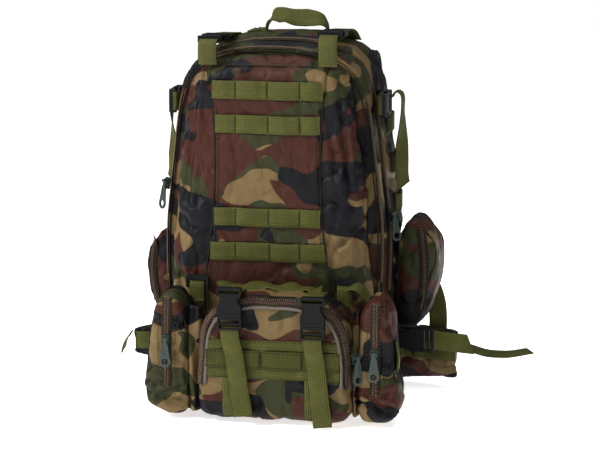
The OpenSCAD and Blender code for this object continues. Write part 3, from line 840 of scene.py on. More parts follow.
def make_front_panel(tree):
    """Centre panel sewn onto the front bag, with stitched edges; a thin dark tube along each edge is painted
    shade for the groove where the edge is sewn down.
    """
    low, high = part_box("front_panel")
    high = Vector((high[0], high[1], high[2] - 0.020))
    rows, columns = 96, 34
    vertices = []
    for j in range(rows + 1):
        z = low[2] + (high[2] - low[2]) * j / rows
        for i in range(columns + 1):
            u = 2 * i / columns - 1
            x = u * panel_half(z)
            edge = min(1.0, (1 - abs(u)) * 12, j / 2.0, (rows - j) / 2.0)
            pucker = 0.0011 * noise.noise(Vector((x * 30, 3.1, z * 55)))
            vertices.append(drop(tree, (x, FRONT_Y, z), BACK, 0.0008 + edge * (0.0014 + pucker)))
    panel = new_object("front_panel_cloth", vertices, grid_faces(rows, columns), "camo_front")
    solid = panel.modifiers.new("thickness", "SOLIDIFY")
    solid.thickness = 0.0012
    solid.offset = 0
    evaluated_mesh(panel)
    top = surface(panel)
    parts = [panel]
    for side in (-1, 1):
        heights = [low[2] + 0.004 + (high[2] - low[2] - 0.006) * k / 40 for k in range(41)]
        edge = [drop(tree, (side * panel_half(z), FRONT_Y, z), BACK, 0.0016) for z in heights]
        inner = [drop(top, (side * (panel_half(z) - 0.005), FRONT_Y, z), BACK, 0.0002) for z in heights]
        # painted shade: a thin dark tube for the groove along the panel's side edge
        parts.append(tube("edge", eased(edge), 0.0009, "dark_thread_and_groove_shade"))
        parts.append(stitches(eased(inner), ACROSS, -0.0002))
    # painted shade: a thin dark tube for the groove along the panel's top edge
    top_edge = [drop(tree, (x, FRONT_Y, high[2]), BACK, 0.0016) for x in np.linspace(-0.083, 0.083, 30)]
    parts.append(tube("edge", eased(top_edge), 0.0011, "dark_thread_and_groove_shade"))
    below = [drop(top, (x, FRONT_Y, high[2] - 0.005), BACK, 0.0002) for x in np.linspace(-0.080, 0.080, 30)]
    parts.append(stitches(eased(below), UP, -0.0002))
    ride(join("front_panel_cloth", parts), "front", "camo_fabric", "front_panel")
    return top


ROW_HEIGHTS = (0.4335, 0.388, 0.264, 0.2175)


def make_front_webbing(tree):
    """Four rows of webbing that stand slack between their bartacks."""
    parts = []
    for row, z in enumerate(ROW_HEIGHTS):
        half = panel_half(z) - 0.002
        tacks = (-0.043, 0.0 + 0.001 * row, 0.044)
        path = []
        for k in range(49):
            x = -half + 2 * half * k / 48
            near = min(abs(x - t) for t in (-half, half) + tacks)
            slack = 0.0030 * min(1.0, near / 0.016) ** 0.7
            sag = 0.0012 * noise.noise(Vector((x * 18, row * 3.7, 1.0)))
            path.append(drop(tree, (x, FRONT_Y, z + sag), BACK, 0.0010 + slack))
        parts.append(strap("row", path, UP, WEBBING, "webbing", 0.0016, 0.003))
        for x in tacks:
            spot = drop(tree, (x, FRONT_Y, z), BACK, 0.0022)
            parts.append(bartack(spot, ACROSS, UP))
    ride(join("webbing_rows", parts), "front", "olive_webbing", "front_webbing")


def seam_strip(tree, back_y, front_y):
    """Zipper tape that closes the narrow space between two compartments, all round."""
    outline = rim_path(tree, back_y + 0.003, 0.008, 0.008, lift=-0.0022)
    rim = [Vector((p.x, (back_y + front_y) / 2, p.z)) for p in outline]
    return strap("strip", eased(rim), BACK, back_y - front_y + 0.0006, "tape", 0.0012)


def compartment_zipper(tree, front_y, next_y, low_end):
    """Zipper, piping and seam strip round the front rim of one compartment."""
    path = eased(rim_path(tree, front_y + 0.0060, low_end, low_end, lift=0.0010))
    parts = zipper(path, hugging(tree), 0.012, 0.0004, 0.0032)
    piping = eased(rim_path(tree, front_y + 0.0125, 0.10, 0.10, lift=0.0004))
    parts.append(tube("piping", piping, 0.0013, "binding"))
    parts.append(seam_strip(tree, front_y, next_y))
    return parts


def make_zippers(rear, middle):
    """The main zipper on the rear bag and the front zipper on the middle one."""
    main = compartment_zipper(rear, REAR_FRONT_Y, MIDDLE_BACK_Y, 0.15)
    ride(join("zip_main", main), "pack", "zipper_coil", "main_zipper")
    front = compartment_zipper(middle, MIDDLE_FRONT_Y, FRONT_BACK_Y, 0.17)
    ride(join("zip_front", front), "middle", "zipper_coil", "front_zipper")


front_tree = make_front_bag()
middle_tree = make_middle_bag(front_tree)
rear_tree = make_rear_bag(middle_tree)
panel_tree = make_front_panel(front_tree)
make_front_webbing(panel_tree)
make_zippers(rear_tree, middle_tree)


# ---- pouches --------------------------------------------------------------------------------

def closed_copy(node, name, material):
    """Copy of a CAD node's closed solids, ready for remeshing."""
    mesh = nodes[node].data.copy()
    mesh.materials.clear()
    mesh.materials.append(MATERIALS[material])
    obj = bpy.data.objects.new(name, mesh)
    scene.collection.objects.link(obj)
    return obj


def slump(obj, centre_x, sign, taper, kick, lift):
    """A half-filled pocket: its outer side leans in above, and its outer bottom corner kicks out and up."""
    points = coordinates(obj)
    low, high = points.min(0), points.max(0)
    t = (points[:, 2] - low[2]) / (high[2] - low[2])
    outward = np.clip((points[:, 0] - centre_x) * sign / (high[0] - low[0]) * 2, 0, 1)
    bottom = np.clip(1 - t / 0.4, 0, 1)
    points[:, 0] -= sign * outward * taper * np.clip((t - 0.35) / 0.65, 0, 1) ** 1.2
    points[:, 0] += sign * outward * kick * np.sin(np.pi * np.clip(bottom, 0, 1)) ** 1.2
    points[:, 2] += outward * lift * bottom ** 1.5
    points[:, 1] += 0.006 * np.clip((t - 0.8) / 0.2, 0, 1) ** 2 * (points[:, 1] < low[1] + 0.03)
    set_coordinates(obj, points)


def make_waist_pouch():
    """The pouch with its zipper and piping; returns the surface that webbing lies on."""
    low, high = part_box("waist_pouch")
    bag = soft_bag("bag_waist", "waist_pouch", "camo_pouch", 0.0055, 4.0, 0.007,
                   sewn_at(high[1], low[1] + 0.008, reach=0.006), 0.002)
    crumple(bag, 0.0036, 0.045, (1, 1, 0.8), 21.0, low_creases)
    x = (low[0] + high[0]) / 2
    fold(bag, (x - 0.09, low[1], 0.045), (x - 0.02, low[1], 0.028), 0.006, 0.003)
    fold(bag, (x + 0.02, low[1], 0.050), (x + 0.095, low[1], 0.034), 0.006, 0.0035)
    fold(bag, (x - 0.07, low[1], 0.135), (x - 0.02, low[1], 0.148), 0.007, 0.0025)
    ride(bag, "waist", "camo_fabric", "waist_pouch")
    tree = surface(bag)
    centre = (x, 0.095)
    rim = eased(rim_path(tree, low[1] + 0.0068, 0.052, 0.052, centre, 0.10, 0.0008))
    inner = eased([drop(tree, ((p.x - x) * 0.925 + x, low[1], (p.z - 0.07) * 0.925 + 0.07), BACK, 0.0010)
                   for p in rim])
    outer = eased(rim_path(tree, low[1] + 0.018, 0.030, 0.030, centre, 0.10, 0.0004))
    parts = zipper(rim, hugging(tree), 0.014, 0.0, 0.0046)
    parts.append(tube("piping", inner, 0.0024, "piping"))
    parts.append(tube("piping", outer, 0.0014, "binding"))
    ride(join("zip_waist", parts), "waist", "zipper_coil", "waist_zipper")
    return tree


def make_waist_webbing(tree):
    """Wide dark band between two narrow ones, stitched along and tacked down."""
    low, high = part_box("waist_band")
    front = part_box("waist_pouch")[0][1]
    x0, x1 = low[0] + 0.004, high[0] - 0.004
    middle = (low[2] + high[2]) / 2
    tacks = (x0 + 0.030, x0 + 0.072, x0 + 0.128)
    parts = []
    bands = ((-0.0175, 0.017, 0.0012, "webbing"), (0.0175, 0.017, 0.0012, "webbing"),
             (0.0, WEBBING, 0.0024, "webbing_dark"))
    for offset, width, lift, material in bands:
        path = []
        for k in range(41):
            x = x0 + (x1 - x0) * k / 40
            near = min(abs(x - t) for t in (x0, x1) + tacks)
            slack = 0.0018 * min(1.0, near / 0.016) if width > 0.02 else 0.0
            path.append(drop(tree, (x, front, middle + offset), BACK, lift + slack))
        parts.append(strap("band", path, UP, width, material, 0.0016, 0.004))
        for edge in (-0.4, 0.4):
            line = [Vector((q.x, q.y - 0.0012, q.z + edge * width)) for q in path]
            parts.append(stitches(line, UP, 0.0))
    for x in tacks:
        spot = drop(tree, (x, front, middle), BACK, 0.0040)
        parts.append(bartack(spot, ACROSS, UP))
    ride(join("band_waist", parts), "waist", "olive_webbing", "waist_band")


def make_waist_handle():
    """Bunched handle that lies along the top of the pouch."""
    low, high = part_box("waist_handle")
    y = (low[1] + high[1]) / 2
    path, across = [], []
    for k in range(41):
        t = k / 40
        x = low[0] + (high[0] - low[0]) * t
        gather = 0.0016 * noise.noise(Vector((t * 9, 1, 5))) + 0.0008 * math.sin(t * 31 + 2 * math.sin(t * 7))
        rise = 0.0022 + 0.0030 * math.sin(math.pi * t)
        path.append((x, y - 0.004 + 0.003 * math.sin(t * 17), low[2] + rise + gather))
        across.append((0.10 * math.sin(t * 17), 0.90, 0.30 + 0.30 * math.sin(t * 19 + 1)))
    handle = strap("handle_waist", path, across, 0.022, "webbing", 0.0022, 0.003)
    ride(handle, "waist", "olive_webbing", "waist_handle")


def make_waist_straps(tree):
    """Webbing over and under the two waist buckles, and the tails that hang from them."""
    parts = []
    front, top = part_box("waist_pouch")[0][1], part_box("waist_pouch")[1][2]
    for node in ("waist_plug_left", "waist_plug_right"):
        low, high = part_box(node)
        x = (low[0] + high[0]) / 2
        lower = [drop(tree, (x, front, z), BACK, 0.0012) for z in (0.064, 0.05, 0.036, 0.022, 0.010)]
        parts.append(strap("lower", lower, ACROSS, WEBBING))
        socket_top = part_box(node)[1][2] + 0.010
        over = [(x, front + 0.036, top + 0.0028), (x, front + 0.016, top + 0.004),
                (x, front + 0.002, top + 0.002), (x, front - 0.0055, top - 0.004),
                (x, front - 0.0068, socket_top)]
        parts.append(strap("over", over, ACROSS, WEBBING))
    ride(join("straps_waist", parts), "waist", "olive_webbing", "waist_webbing")
    for side, lean in (("left", 0.018), ("right", 0.014)):
        low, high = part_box("waist_tail_" + side)
        plug_low, plug_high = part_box("waist_plug_" + side)
        x = (plug_low[0] + plug_high[0]) / 2
        y = (low[1] + high[1]) / 2
        z0, z1 = low[2], high[2]
        path = [(x, y + 0.0035, z1 + 0.0045), (x, y - 0.0020, z1 + 0.0015),
                (x + 0.0005, y - 0.0005, z1 - 0.012)]
        for t in (0.3, 0.5, 0.7, 0.85, 1.0):
            bow = 0.003 * math.sin(t * 5.0)
            path.append((x + lean * t, y - 0.0005 + bow * 0.4, z1 + (z0 - z1) * t))
        tail = strap("tail_waist_" + side, path, ACROSS, WEBBING, "webbing", 0.0017, 0.004)
        end = [Vector((x + lean * t, y - 0.0002, z1 + (z0 - z1) * t)) for t in (0.80, 0.88, 0.97)]
        back = strap("hem", [q + Vector((0, 0.0018, 0)) for q in end], ACROSS, 0.0245, "webbing", 0.0016)
        cross = [Vector((x + lean * 0.9 + dx, y - 0.0012, z0 + 0.016)) for dx in (-0.011, 0, 0.011)]
        second = [c - Vector((0, 0, 0.011)) for c in cross]
        parts = [tail, back, stitches(cross, UP, 0.0002), stitches(second, UP, 0.0002)]
        ride(join("tail_waist_" + side, parts), "waist_clip_" + side, "olive_webbing", "waist_tail_" + side)


def make_pocket(side, seed):
    """Pocket beside the waist pouch; returns the parts of its zipper."""
    node = "pocket_" + side
    low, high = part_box(node)
    x = (low[0] + high[0]) / 2
    bag = soft_bag("bag_pocket_" + side, node, "camo_pouch", 0.005, 4.0, 0.006,
                   sewn_at(high[1], low[1] + 0.007, reach=0.005), 0.002)
    outside = -1 if side == "left" else 1
    slump(bag, x, outside, 0.008 if side == "left" else 0.004, 0.006, 0.012 if side == "left" else 0.004)
    crumple(bag, 0.0060, 0.036, (1, 1, 0.9), seed, low_creases)
    fold(bag, (low[0], low[1] + 0.01, 0.036), (high[0], low[1], 0.024), 0.005, 0.007)
    fold(bag, (x - 0.010, low[1], 0.032), (high[0], low[1], 0.050), 0.004, 0.004)
    fold(bag, (low[0] + 0.005, low[1], 0.055), (x, low[1], 0.040), 0.005, 0.003)
    fold(bag, (x + 0.012, low[1], 0.140), (high[0], low[1] + 0.02, 0.120), 0.005, 0.003)
    ride(bag, "waist", "camo_fabric", node)
    tree = surface(bag)
    path = eased([drop(tree, (x, low[1], z), BACK, 0.0008) for z in np.linspace(0.046, 0.164, 24)])
    parts = zipper(path, (-1, 0, 0), 0.0135, 0.0, 0.0040)
    for offset in (-0.0115, 0.0115):
        line = [drop(tree, (x + offset, low[1], z), BACK, 0.0004) for z in np.linspace(0.036, 0.166, 24)]
        parts.append(stitches(eased(line), ACROSS, 0.0, "thread"))
    # painted shade: a thin dark tube for the groove where the pocket's front is sewn to its sides
    edge = rim_path(tree, low[1] + 0.010, 0.02, 0.02, (x, 0.09), 0.03, 0.0004)
    parts.append(tube("edge", eased(edge), 0.0009, "dark_thread_and_groove_shade"))
    if side == "right":
        patch = [drop(tree, (high[0], low[1] + 0.020, z), (-1, -0.35, 0), 0.0012)
                 for z in np.linspace(0.076, 0.116, 9)]
        parts.append(strap("patch", eased(patch), (-0.5, 1, 0), 0.018))
    return parts


def make_side_pouch(side, seed):
    """Side pouch with its zipper, seam rows and bound edge."""
    node = "side_pouch_" + side
    low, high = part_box(node)
    sign = -1 if side == "left" else 1
    outer = high[0] if sign > 0 else low[0]
    inner = low[0] if sign > 0 else high[0]
    bag = soft_bag("bag_side_" + side, node, "camo_middle", 0.0055, 4.0, 0.007,
                   lambda p: np.clip(1.6 - np.abs(p[:, 0] - inner) / 0.006, 0, 1), 0.002)
    crumple(bag, 0.0045, 0.042, (1, 1, 0.8), seed, low_creases)
    ride(bag, "side_bag_" + side, "camo_fabric", node)
    tree = surface(bag)
    front = low[1]
    x = (inner + outer) / 2 + sign * 0.006
    face = []
    for t in np.linspace(0, 1, 20):
        z = low[2] + 0.03 + t * (high[2] - low[2] - 0.045)
        face.append(drop(tree, (x + sign * 0.006 * math.sin(3 * t), front, z), BACK, 0.0008))
    parts = zipper(face, hugging(tree), 0.013)
    for offset in (0.010, 0.0145, 0.019):
        z = low[2] + 0.026 + offset * 0.6
        line = [drop(tree, (inner + sign * d, front, z + d * 0.10), BACK, 0.0006)
                for d in np.linspace(0.004, abs(outer - inner) * 0.66, 14)]
        parts.append(stitches(line, hugging(tree), 0.0))
    middle = Vector(((inner + outer) / 2, front + 0.006, (low[2] + high[2]) / 2))
    edge = []
    for k in range(61):
        out = Vector((math.cos(math.radians(6 * k)), 0, math.sin(math.radians(6 * k))))
        edge.append(drop(tree, middle, -out, 0.0003))
    parts.append(tube("edge", eased(edge, 3), 0.0013, "binding"))
    ride(join("zip_side_" + side, parts), "side_bag_" + side, "zipper_coil")


def make_gusset(side, x0, x1, depth):
    """Loose cloth that joins a pocket to the waist pouch, with one fold down its middle."""
    rows, columns = 30, 10
    vertices = []
    for j in range(rows + 1):
        z = 0.014 + 0.138 * j / rows
        for i in range(columns + 1):
            u = i / columns
            x = x0 + (x1 - x0) * u + 0.0015 * noise.noise(Vector((z * 40, u * 2, x0 * 50)))
            y = depth - 0.010 * math.sin(math.pi * u) + 0.004 * math.sin(2 * math.pi * u + z * 40)
            vertices.append((x, y + 0.012 * (z / 0.15) ** 2, z))
    cloth = new_object("gusset_" + side, vertices, grid_faces(rows, columns), "camo_pouch")
    solid = cloth.modifiers.new("thickness", "SOLIDIFY")
    solid.thickness = 0.0016
    evaluated_mesh(cloth)
    ride(cloth, "waist", "camo_fabric")


def make_hanger_tabs():
    """Webbing loops through the plastic rings, and a free end that curls out at the right."""
    low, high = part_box("hanger_rings")
    y, z = (low[1] + high[1]) / 2, (low[2] + high[2]) / 2
    parts = []
    for x in (low[0] + 0.015, high[0] - 0.015):
        path = [(x, y - 0.0040, z - 0.026), (x, y - 0.0036, z - 0.012), (x, y - 0.0030, z - 0.004),
                (x, y, z + 0.0005), (x, y + 0.0032, z - 0.004), (x, y + 0.0036, z - 0.014),
                (x, y + 0.0040, z - 0.024)]
        parts.append(strap("loop", path, ACROSS, 0.020))
    x = high[0] - 0.006
    curl = [(x - 0.006, y - 0.004, z - 0.003), (x + 0.006, y - 0.008, z + 0.002),
            (x + 0.016, y - 0.006, z - 0.004), (x + 0.022, y - 0.002, z - 0.015),
            (x + 0.023, y + 0.002, z - 0.024)]
    parts.append(strap("curl", curl, (0.25, 0.9, 0.35), 0.020))
    ride(join("tabs_hanger", parts), "waist", "olive_webbing")


waist_tree = make_waist_pouch()
make_waist_webbing(waist_tree)
make_waist_handle()
make_waist_straps(waist_tree)
pocket_parts = []
for side, seed in (("left", 31.0), ("right", 37.0)):
    pocket_parts += make_pocket(side, seed)
ride(join("zips_pockets", pocket_parts), "waist", "zipper_coil", "pocket_zippers")
waist_low, waist_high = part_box("waist_pouch")
make_gusset("left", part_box("pocket_left")[1][0] - 0.004, waist_low[0] + 0.004, -0.176)
make_gusset("right", waist_high[0] - 0.003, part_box("pocket_right")[0][0] + 0.003, -0.172)
make_hanger_tabs()
for side, seed in (("left", 43.0), ("right", 47.0)):
    make_side_pouch(side, seed)


# ---- pads, straps and handle ----------------------------------------------------------------

def make_base():
    """Bottom panel in the same cloth, with softened edges."""
    base = closed_copy("base_panel", "base_cloth", "camo")
    remesh(base, 0.004)
    ride(base, "pack", "base_fabric", "base_panel")


def rounded_loop(x, z, width, height, radius, y):
    """Closed rounded rectangle in a plane of constant depth."""
    corners = ((1, 1, 0), (-1, 1, 90), (-1, -1, 180), (1, -1, 270))
    points = []
    for cx, cz, start in corners:
        for k in range(7):
            a = math.radians(start + 15 * k)
            points.append(Vector((x + cx * (width / 2 - radius) + radius * math.cos(a), y,
                                  z + cz * (height / 2 - radius) + radius * math.sin(a))))
    return points + points[:2]


def make_back_pads():
    """Two upper pads and a lumbar pad of spacer mesh, quilted across and bound round the edge."""
    pads = closed_copy("back_pads", "pads_back", "mesh")
    remesh(pads, 0.0045)
    low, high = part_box("back_pads")
    back = low[1]
    inflate(pads, 4.0, 0.006, lambda p: np.clip(1.8 - np.abs(p[:, 1] - back) / 0.004, 0, 1))
    subdivide(pads)
    for x in (-0.052, 0.052):
        for z in (0.285, 0.322, 0.359, 0.396):
            fold(pads, (x - 0.032, high[1], z), (x + 0.032, high[1], z), 0.0045, 0.0055, 0.3)
    for z in (0.130, 0.155, 0.180):
        fold(pads, (-0.075, high[1], z), (0.075, high[1], z), 0.0045, 0.0055, 0.3)
    loops = [rounded_loop(x, 0.340, 0.078, 0.192, 0.025, back + 0.003) for x in (-0.052, 0.052)]
    loops.append(rounded_loop(0.0, 0.155, 0.172, 0.122, 0.025, back + 0.003))
    parts = [pads] + [tube("edge", loop, 0.0028, "binding") for loop in loops]
    ride(join("pads_back", parts), "pack", "mesh_fabric", "back_pads")


def near_both_edges(axis, low, high):
    """Pins the cloth near a pad's two bound edges, which lie apart along axis."""
    def weights(points):
        near = np.minimum(points[:, axis] - low[axis], high[axis] - points[:, axis])
        return np.clip(1.5 - near / 0.006, 0, 1)
    return weights


# the padded strap's centre line seen from the side: depth behind the back, height
STRAP_ARCH = ((0.007, 0.452), (0.031, 0.462), (0.055, 0.452), (0.071, 0.425), (0.079, 0.385), (0.080, 0.340),
              (0.075, 0.295), (0.068, 0.264))


def make_shoulder_strap(side):
    """Mesh-covered pad with a bound edge and a length of webbing sewn down its outer face."""
    node = "shoulder_strap_" + side
    pad = closed_copy(node, "pad_shoulder_" + side, "mesh")
    low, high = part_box(node)
    remesh(pad, 0.005)
    inflate(pad, 4.0, 0.004, near_both_edges(0, low, high))
    subdivide(pad)
    tree = surface(pad)
    parts = [pad]
    for x in (low[0] + 0.002, high[0] - 0.002):
        parts.append(tube("edge", [(x, REAR_Y + y, z) for y, z in STRAP_ARCH], 0.0042, "binding"))
    middle = (low[0] + high[0]) / 2
    heights = np.linspace(0.268, 0.452, 26)
    path = eased([drop(tree, (middle, high[1], z), (0, -1, 0), 0.0012) for z in heights])
    parts.append(strap("web", path, (-1, 0, 0), WEBBING))
    for z in (0.275, 0.318, 0.361, 0.404):
        spot = drop(tree, (middle, high[1], z), (0, -1, 0), 0.0026)
        parts.append(bartack(spot, UP, ACROSS))
    ride(join("pad_shoulder_" + side, parts), "pack", "mesh_fabric", node)


def make_yoke(tree):
    """Reinforcement sewn across the back where both shoulder straps start."""
    path = eased([drop(tree, (x, REAR_Y, 0.436), (0, -1, 0), 0.0016) for x in np.linspace(-0.116, 0.116, 30)])
    parts = [strap("yoke", path, UP, 0.030, "binding", 0.0022)]
    for z in (-0.012, 0.012):
        parts.append(stitches([p + Vector((0, 0.0012, z)) for p in path], UP, 0.0, "thread"))
    ride(join("yoke_back", parts), "pack", "base_fabric")


def make_hip_wing(side, seed, narrowing):
    """Padded wing that narrows towards its tip, with webbing sewn along it."""
    node = "hip_wing_" + side
    wing = closed_copy(node, "pad_hip_" + side, "camo_middle")
    low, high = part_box(node)
    sign = -1 if side == "left" else 1
    remesh(wing, 0.0055)
    inflate(wing, 4.0, 0.005, near_both_edges(2, low, high))
    subdivide(wing)
    points = coordinates(wing)
    reach = np.clip((points[:, 0] * sign - 0.150) / 0.085, 0, 1)
    points[:, 2] = 0.052 + (points[:, 2] - 0.052) * (1 - narrowing * reach ** 0.8)
    set_coordinates(wing, points)
    crumple(wing, 0.0045, 0.035, (1, 1, 1), seed)
    tree = surface(wing)
    ride(wing, "wing_" + side, "camo_fabric", node)
    parts = []
    for face in (-1, 1):
        reaches = np.linspace(0.150, 0.229, 18)
        path = eased([drop(tree, (sign * x, 0.08, 0.052), (0, -face, 0), 0.0014) for x in reaches])
        parts.append(strap("web", path, UP, WEBBING))
        parts.append(bartack(path[4] + Vector((0, face * 0.0012, 0)), ACROSS, UP))
    ride(join("webbing_wing_" + side, parts), "wing_" + side, "olive_webbing")


def make_shoulder_webbing():
    """Webbing from each shoulder pad through its ladder lock to the pack."""
    parts = []
    lock_low, lock_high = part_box("ladder_locks")
    lock_y = (lock_low[1] + lock_high[1]) / 2
    for sign in (-1, 1):
        tab = [(sign * 0.1085, lock_y + dy, lock_high[2] + dz)
               for dy, dz in ((-0.002, -0.006), (-0.003, 0.006), (-0.002, 0.020))]
        parts.append(strap("tab", tab, ACROSS, WEBBING))
        path = [(sign * 0.1085, REAR_Y + 0.060, 0.256), (sign * 0.1085, REAR_Y + 0.051, 0.219),
                (sign * 0.1085, REAR_Y + 0.031, 0.159), (sign * 0.1085, REAR_Y + 0.004, 0.118),
                (sign * 0.1085, REAR_Y + 0.003, 0.102)]
        parts.append(strap("web", path, ACROSS, WEBBING))
    ride(join("webbing_shoulder", parts), "pack", "olive_webbing", "shoulder_webbing")


def make_side_webbing(tree):
    """Three short rows of webbing on each side of the main compartment."""
    parts = []
    for sign in (-1, 1):
        for z in (0.376, 0.322, 0.268):
            ys = np.linspace(REAR_FRONT_Y + 0.030, REAR_Y - 0.006, 26)
            path = []
            for y in ys:
                near = min(abs(y - t) for t in (ys[0], ys[12], ys[-1]))
                slack = 0.003 * min(1.0, near / 0.014) ** 0.7
                path.append(drop(tree, (sign * 0.14, y, z), (-sign, 0, 0), 0.0010 + slack))
            parts.append(strap("side", path, UP, WEBBING))
            for y in (ys[0] + 0.002, ys[12], ys[-1] - 0.002):
                spot = drop(tree, (sign * 0.14, y, z), (-sign, 0, 0), 0.0022)
                parts.append(bartack(spot, BACK, UP))
    ride(join("webbing_side", parts), "pack", "olive_webbing", "side_webbing")


def make_hip_webbing():
    """Webbing ends that stick out past both wings, and a brace behind the right side pouch."""
    right = [(0.2365, 0.062), (0.252, 0.056), (0.274, 0.051), (0.296, 0.050), (0.318, 0.053), (0.339, 0.058)]
    left = [(-0.2365, 0.060), (-0.243, 0.052), (-0.247, 0.042), (-0.249, 0.032)]
    y_web = 0.0735
    for side, points, cut in (("right", right, 0.012), ("left", left, 0.006)):
        path = [(x, y_web, height) for x, height in points]
        web = strap("webbing_hip_" + side, path, (0, 1, 0.18), WEBBING, "webbing", 0.0017, 0.004, 0.001, cut)
        ride(web, "wing_" + side, "olive_webbing", "hip_webbing_" + side)
    path = [(0.2010, 0.0870, 0.068), (0.2020, 0.0890, 0.092), (0.1995, 0.0905, 0.118),
            (0.1920, 0.0910, 0.140), (0.1780, 0.0915, 0.158)]
    brace = strap("brace_hip", path, (1, 0, 0.25), WEBBING, "webbing", 0.0016, 0.004, 0.001)
    ride(brace, "wing_right", "olive_webbing")


def make_top_straps(tree, panel):
    """Webbing up to the top sockets, and from the plugs back over the rear bag."""
    parts = []
    for side in ("left", "right"):
        low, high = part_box("top_strap_" + side)
        x = (low[0] + high[0]) / 2
        plug_low, plug_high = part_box("top_plug_" + side)
        z = (plug_low[2] + plug_high[2]) / 2
        mouth = low[1]
        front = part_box("front_panel")[0][1] - 0.002
        path = [drop(panel, (x, FRONT_Y, 0.466), BACK, 0.0012), (x, front, 0.474),
                (x, front - 0.0004, z - 0.014), (x, front + 0.0012, z - 0.004), (x, front + 0.0075, z),
                (x, front + 0.012, z + 0.0004)]
        parts.append(strap("lift", path, ACROSS, WEBBING))
        parts.append(bartack(drop(panel, (x, FRONT_Y, 0.472), BACK, 0.0026), UP, ACROSS))
        rear_end = drop(tree, (x, 0.074, z), (0, 0, -1), 0.0022)
        back = [(x, mouth, z), (x, mouth + 0.008, z + 0.001), (x, -0.010, z), (x, 0.016, z - 0.002),
                (x, 0.046, (z + rear_end.z) / 2 + 0.002), rear_end, rear_end + Vector((0, 0.006, -0.001))]
        strap_back = strap("strap_top_" + side, back, ACROSS, WEBBING)
        ride(strap_back, "top_clip_" + side, "olive_webbing", "top_strap_" + side)
    ride(join("webbing_top", parts), "front", "olive_webbing", "top_webbing")


def make_side_tails():
    """Tails that come up out of their plugs, turn over and hang twisted."""
    for side, sign in (("left", -1), ("right", 1)):
        low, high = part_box("side_tail_" + side)
        y = (low[1] + high[1]) / 2
        x = 0.1485
        top = high[2]
        path = [(sign * (x - 0.002), y, top - 0.009), (sign * (x + 0.002), y, top - 0.002),
                (sign * (x + 0.0065), y, top - 0.0005), (sign * (x + 0.0125), y, top - 0.008),
                (sign * (x + 0.0125), y - 0.002, top - 0.035), (sign * (x + 0.0115), y + 0.002, top - 0.07),
                (sign * (x + 0.012), y - 0.002, top - 0.10), (sign * (x + 0.014), y, low[2] + 0.002)]
        across = [BACK, BACK, BACK, (sign * 0.25, 1, 0), (sign * 0.5, 0.8, 0),
                  (sign * 0.6, 0.75, 0), (sign * 0.5, 0.8, 0), (sign * 0.6, 0.75, 0)]
        tail = strap("tail_side_" + side, path, across, WEBBING, "webbing", 0.0017, 0.004, 0.0, 0.010)
        ride(tail, "side_clip_" + side, "olive_webbing", "side_tail_" + side)


def make_lower_tail():
    """Free end of the lower right strap, cut at a slant."""
    low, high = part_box("lower_tail_right")
    y = (low[1] + high[1]) / 2
    z = (low[2] + high[2]) / 2 + 0.002
    path = [(low[0] - 0.001, y, z + 0.001), (low[0] + 0.012, y - 0.001, z),
            (low[0] + 0.030, y + 0.001, z - 0.002), (high[0], y, z - 0.004)]
    tail = strap("tail_lower", path, UP, 0.026, "webbing", 0.0018, 0.004, 0.0, 0.012)
    ride(tail, "lower_clip", "olive_webbing", "lower_tail_right")


def make_carry_handle(tree):
    """Arched ribbon, gathered at both ends. Its sewn-down feet stay on the bag when it swings."""
    low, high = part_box("carry_handle")
    y = (low[1] + high[1]) / 2
    x, half, top = (low[0] + high[0]) / 2, (high[0] - low[0]) / 2, high[2]
    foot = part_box("rear_compartment")[1][2]
    path = [(x - half + 0.003, y, foot + 0.0052), (x - half * 0.90, y - 0.002, foot + 0.012),
            (x - half * 0.72, y - 0.004, top - 0.006), (x - half * 0.40, y - 0.001, top - 0.0035),
            (x - half * 0.05, y, top - 0.0070), (x + half * 0.35, y + 0.001, top - 0.0075),
            (x + half * 0.68, y, top - 0.010), (x + half * 0.88, y, foot + 0.012),
            (x + half - 0.003, y, foot + 0.0052)]
    across = [BACK, (0.2, 0.9, 0.2), (0.1, 0.65, 0.7), (-0.1, 0.75, 0.65), (0, 0.6, 0.8),
              (0, 0.55, 0.85), (0.1, 0.7, 0.7), (0.1, 0.9, 0.3), BACK]
    handle = strap("handle_top", path, across, 0.027, "webbing", 0.0020, 0.003, gather=0.72)
    ride(handle, "handle", "olive_webbing", "carry_handle")
    parts = []
    for sign in (-1, 1):
        flat = [drop(tree, (x + sign * (half + d), y, foot), (0, 0, -1), 0.0014)
                for d in (0.022, 0.015, 0.008, 0.002)]
        end = [(x + sign * (half - 0.002), y, foot + 0.0035)]
        parts.append(strap("foot", flat + end, BACK, 0.027, "webbing", 0.0020, 0.003))
        for place in flat[1:3]:
            parts.append(bartack(place + Vector((0, 0, 0.0014)), ACROSS, BACK))
    ride(join("feet_handle", parts), "pack", "olive_webbing")


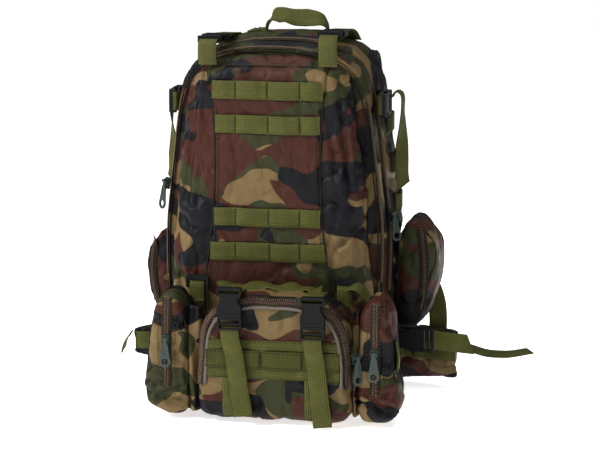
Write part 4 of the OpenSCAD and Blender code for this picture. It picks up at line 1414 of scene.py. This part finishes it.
def make_buckle_anchors():
    """Webbing from the bar of each side socket, back behind the buckle to the main compartment's side."""
    upper = ((0.1440, -0.0495), (0.1395, -0.0520), (0.1365, -0.0460), (0.1350, -0.0200), (0.1335, -0.0040),
             (0.1325, 0.0200))
    parts = []
    for sign in (-1, 1):
        path = [(sign * x, y, 0.409) for x, y in upper]
        parts.append(strap("anchor", path, UP, WEBBING, "webbing", 0.0016, 0.003))
    lower = ((0.1590, -0.0310), (0.1555, -0.0285), (0.1530, -0.0200), (0.1522, -0.0050), (0.1520, 0.0140))
    path = [(x, y, 0.088) for x, y in lower]
    parts.append(strap("anchor", path, UP, WEBBING, "webbing", 0.0016, 0.003))
    ride(join("anchors_side", parts), "pack", "olive_webbing")


def make_back_seam(tree):
    """Bound seam where the back panel meets the side and the top."""
    path = eased(rim_path(tree, REAR_Y - 0.007, 0.03, 0.03, lift=0.0006))
    parts = [tube("seam", path, 0.0018, "binding")]
    inner = eased(rim_path(tree, REAR_Y - 0.012, 0.03, 0.03, lift=0.0004))
    parts.append(stitches(inner, hugging(tree), 0.0, "thread"))
    ride(join("seam_back", parts), "pack", "base_fabric")


make_base()
make_back_pads()
make_yoke(rear_tree)
for side, seed, narrowing in (("left", 53.0, 0.62), ("right", 59.0, 0.22)):
    make_shoulder_strap(side)
    make_hip_wing(side, seed, narrowing)
make_shoulder_webbing()
make_side_webbing(rear_tree)
make_hip_webbing()
make_top_straps(rear_tree, panel_tree)
make_side_tails()
make_lower_tail()
make_carry_handle(rear_tree)
make_buckle_anchors()
make_back_seam(rear_tree)


# ---- CAD pieces that keep their shape -------------------------------------------------------

def dress(node, material, bevel):
    """Material and softened edges for a rigid CAD piece."""
    obj = nodes[node]
    obj.data.materials.clear()
    obj.data.materials.append(MATERIALS[material])
    if bevel:
        mod = obj.modifiers.new("edge", "BEVEL")
        mod.width = bevel
        mod.segments = 2
        mod.limit_method = "ANGLE"
        mod.angle_limit = math.radians(35)


for node in ("top_sockets", "top_plug_left", "top_plug_right", "side_sockets", "side_plug_left",
             "side_plug_right", "lower_plug_right", "waist_sockets", "waist_plug_left", "waist_plug_right",
             "ladder_locks", "hanger_rings"):
    dress(node, "plastic", 0.0005)
for node in ("main_slider", "main_pull", "front_slider", "front_pull", "waist_slider", "waist_pull",
             "pocket_slider_left", "pocket_slider_right", "pocket_pull_left", "pocket_pull_right"):
    dress(node, "metal", 0.0003)
dress("frame_sheet", "frame_sheet", 0.0005)
dress("frame_stays", "aluminium", 0.0004)
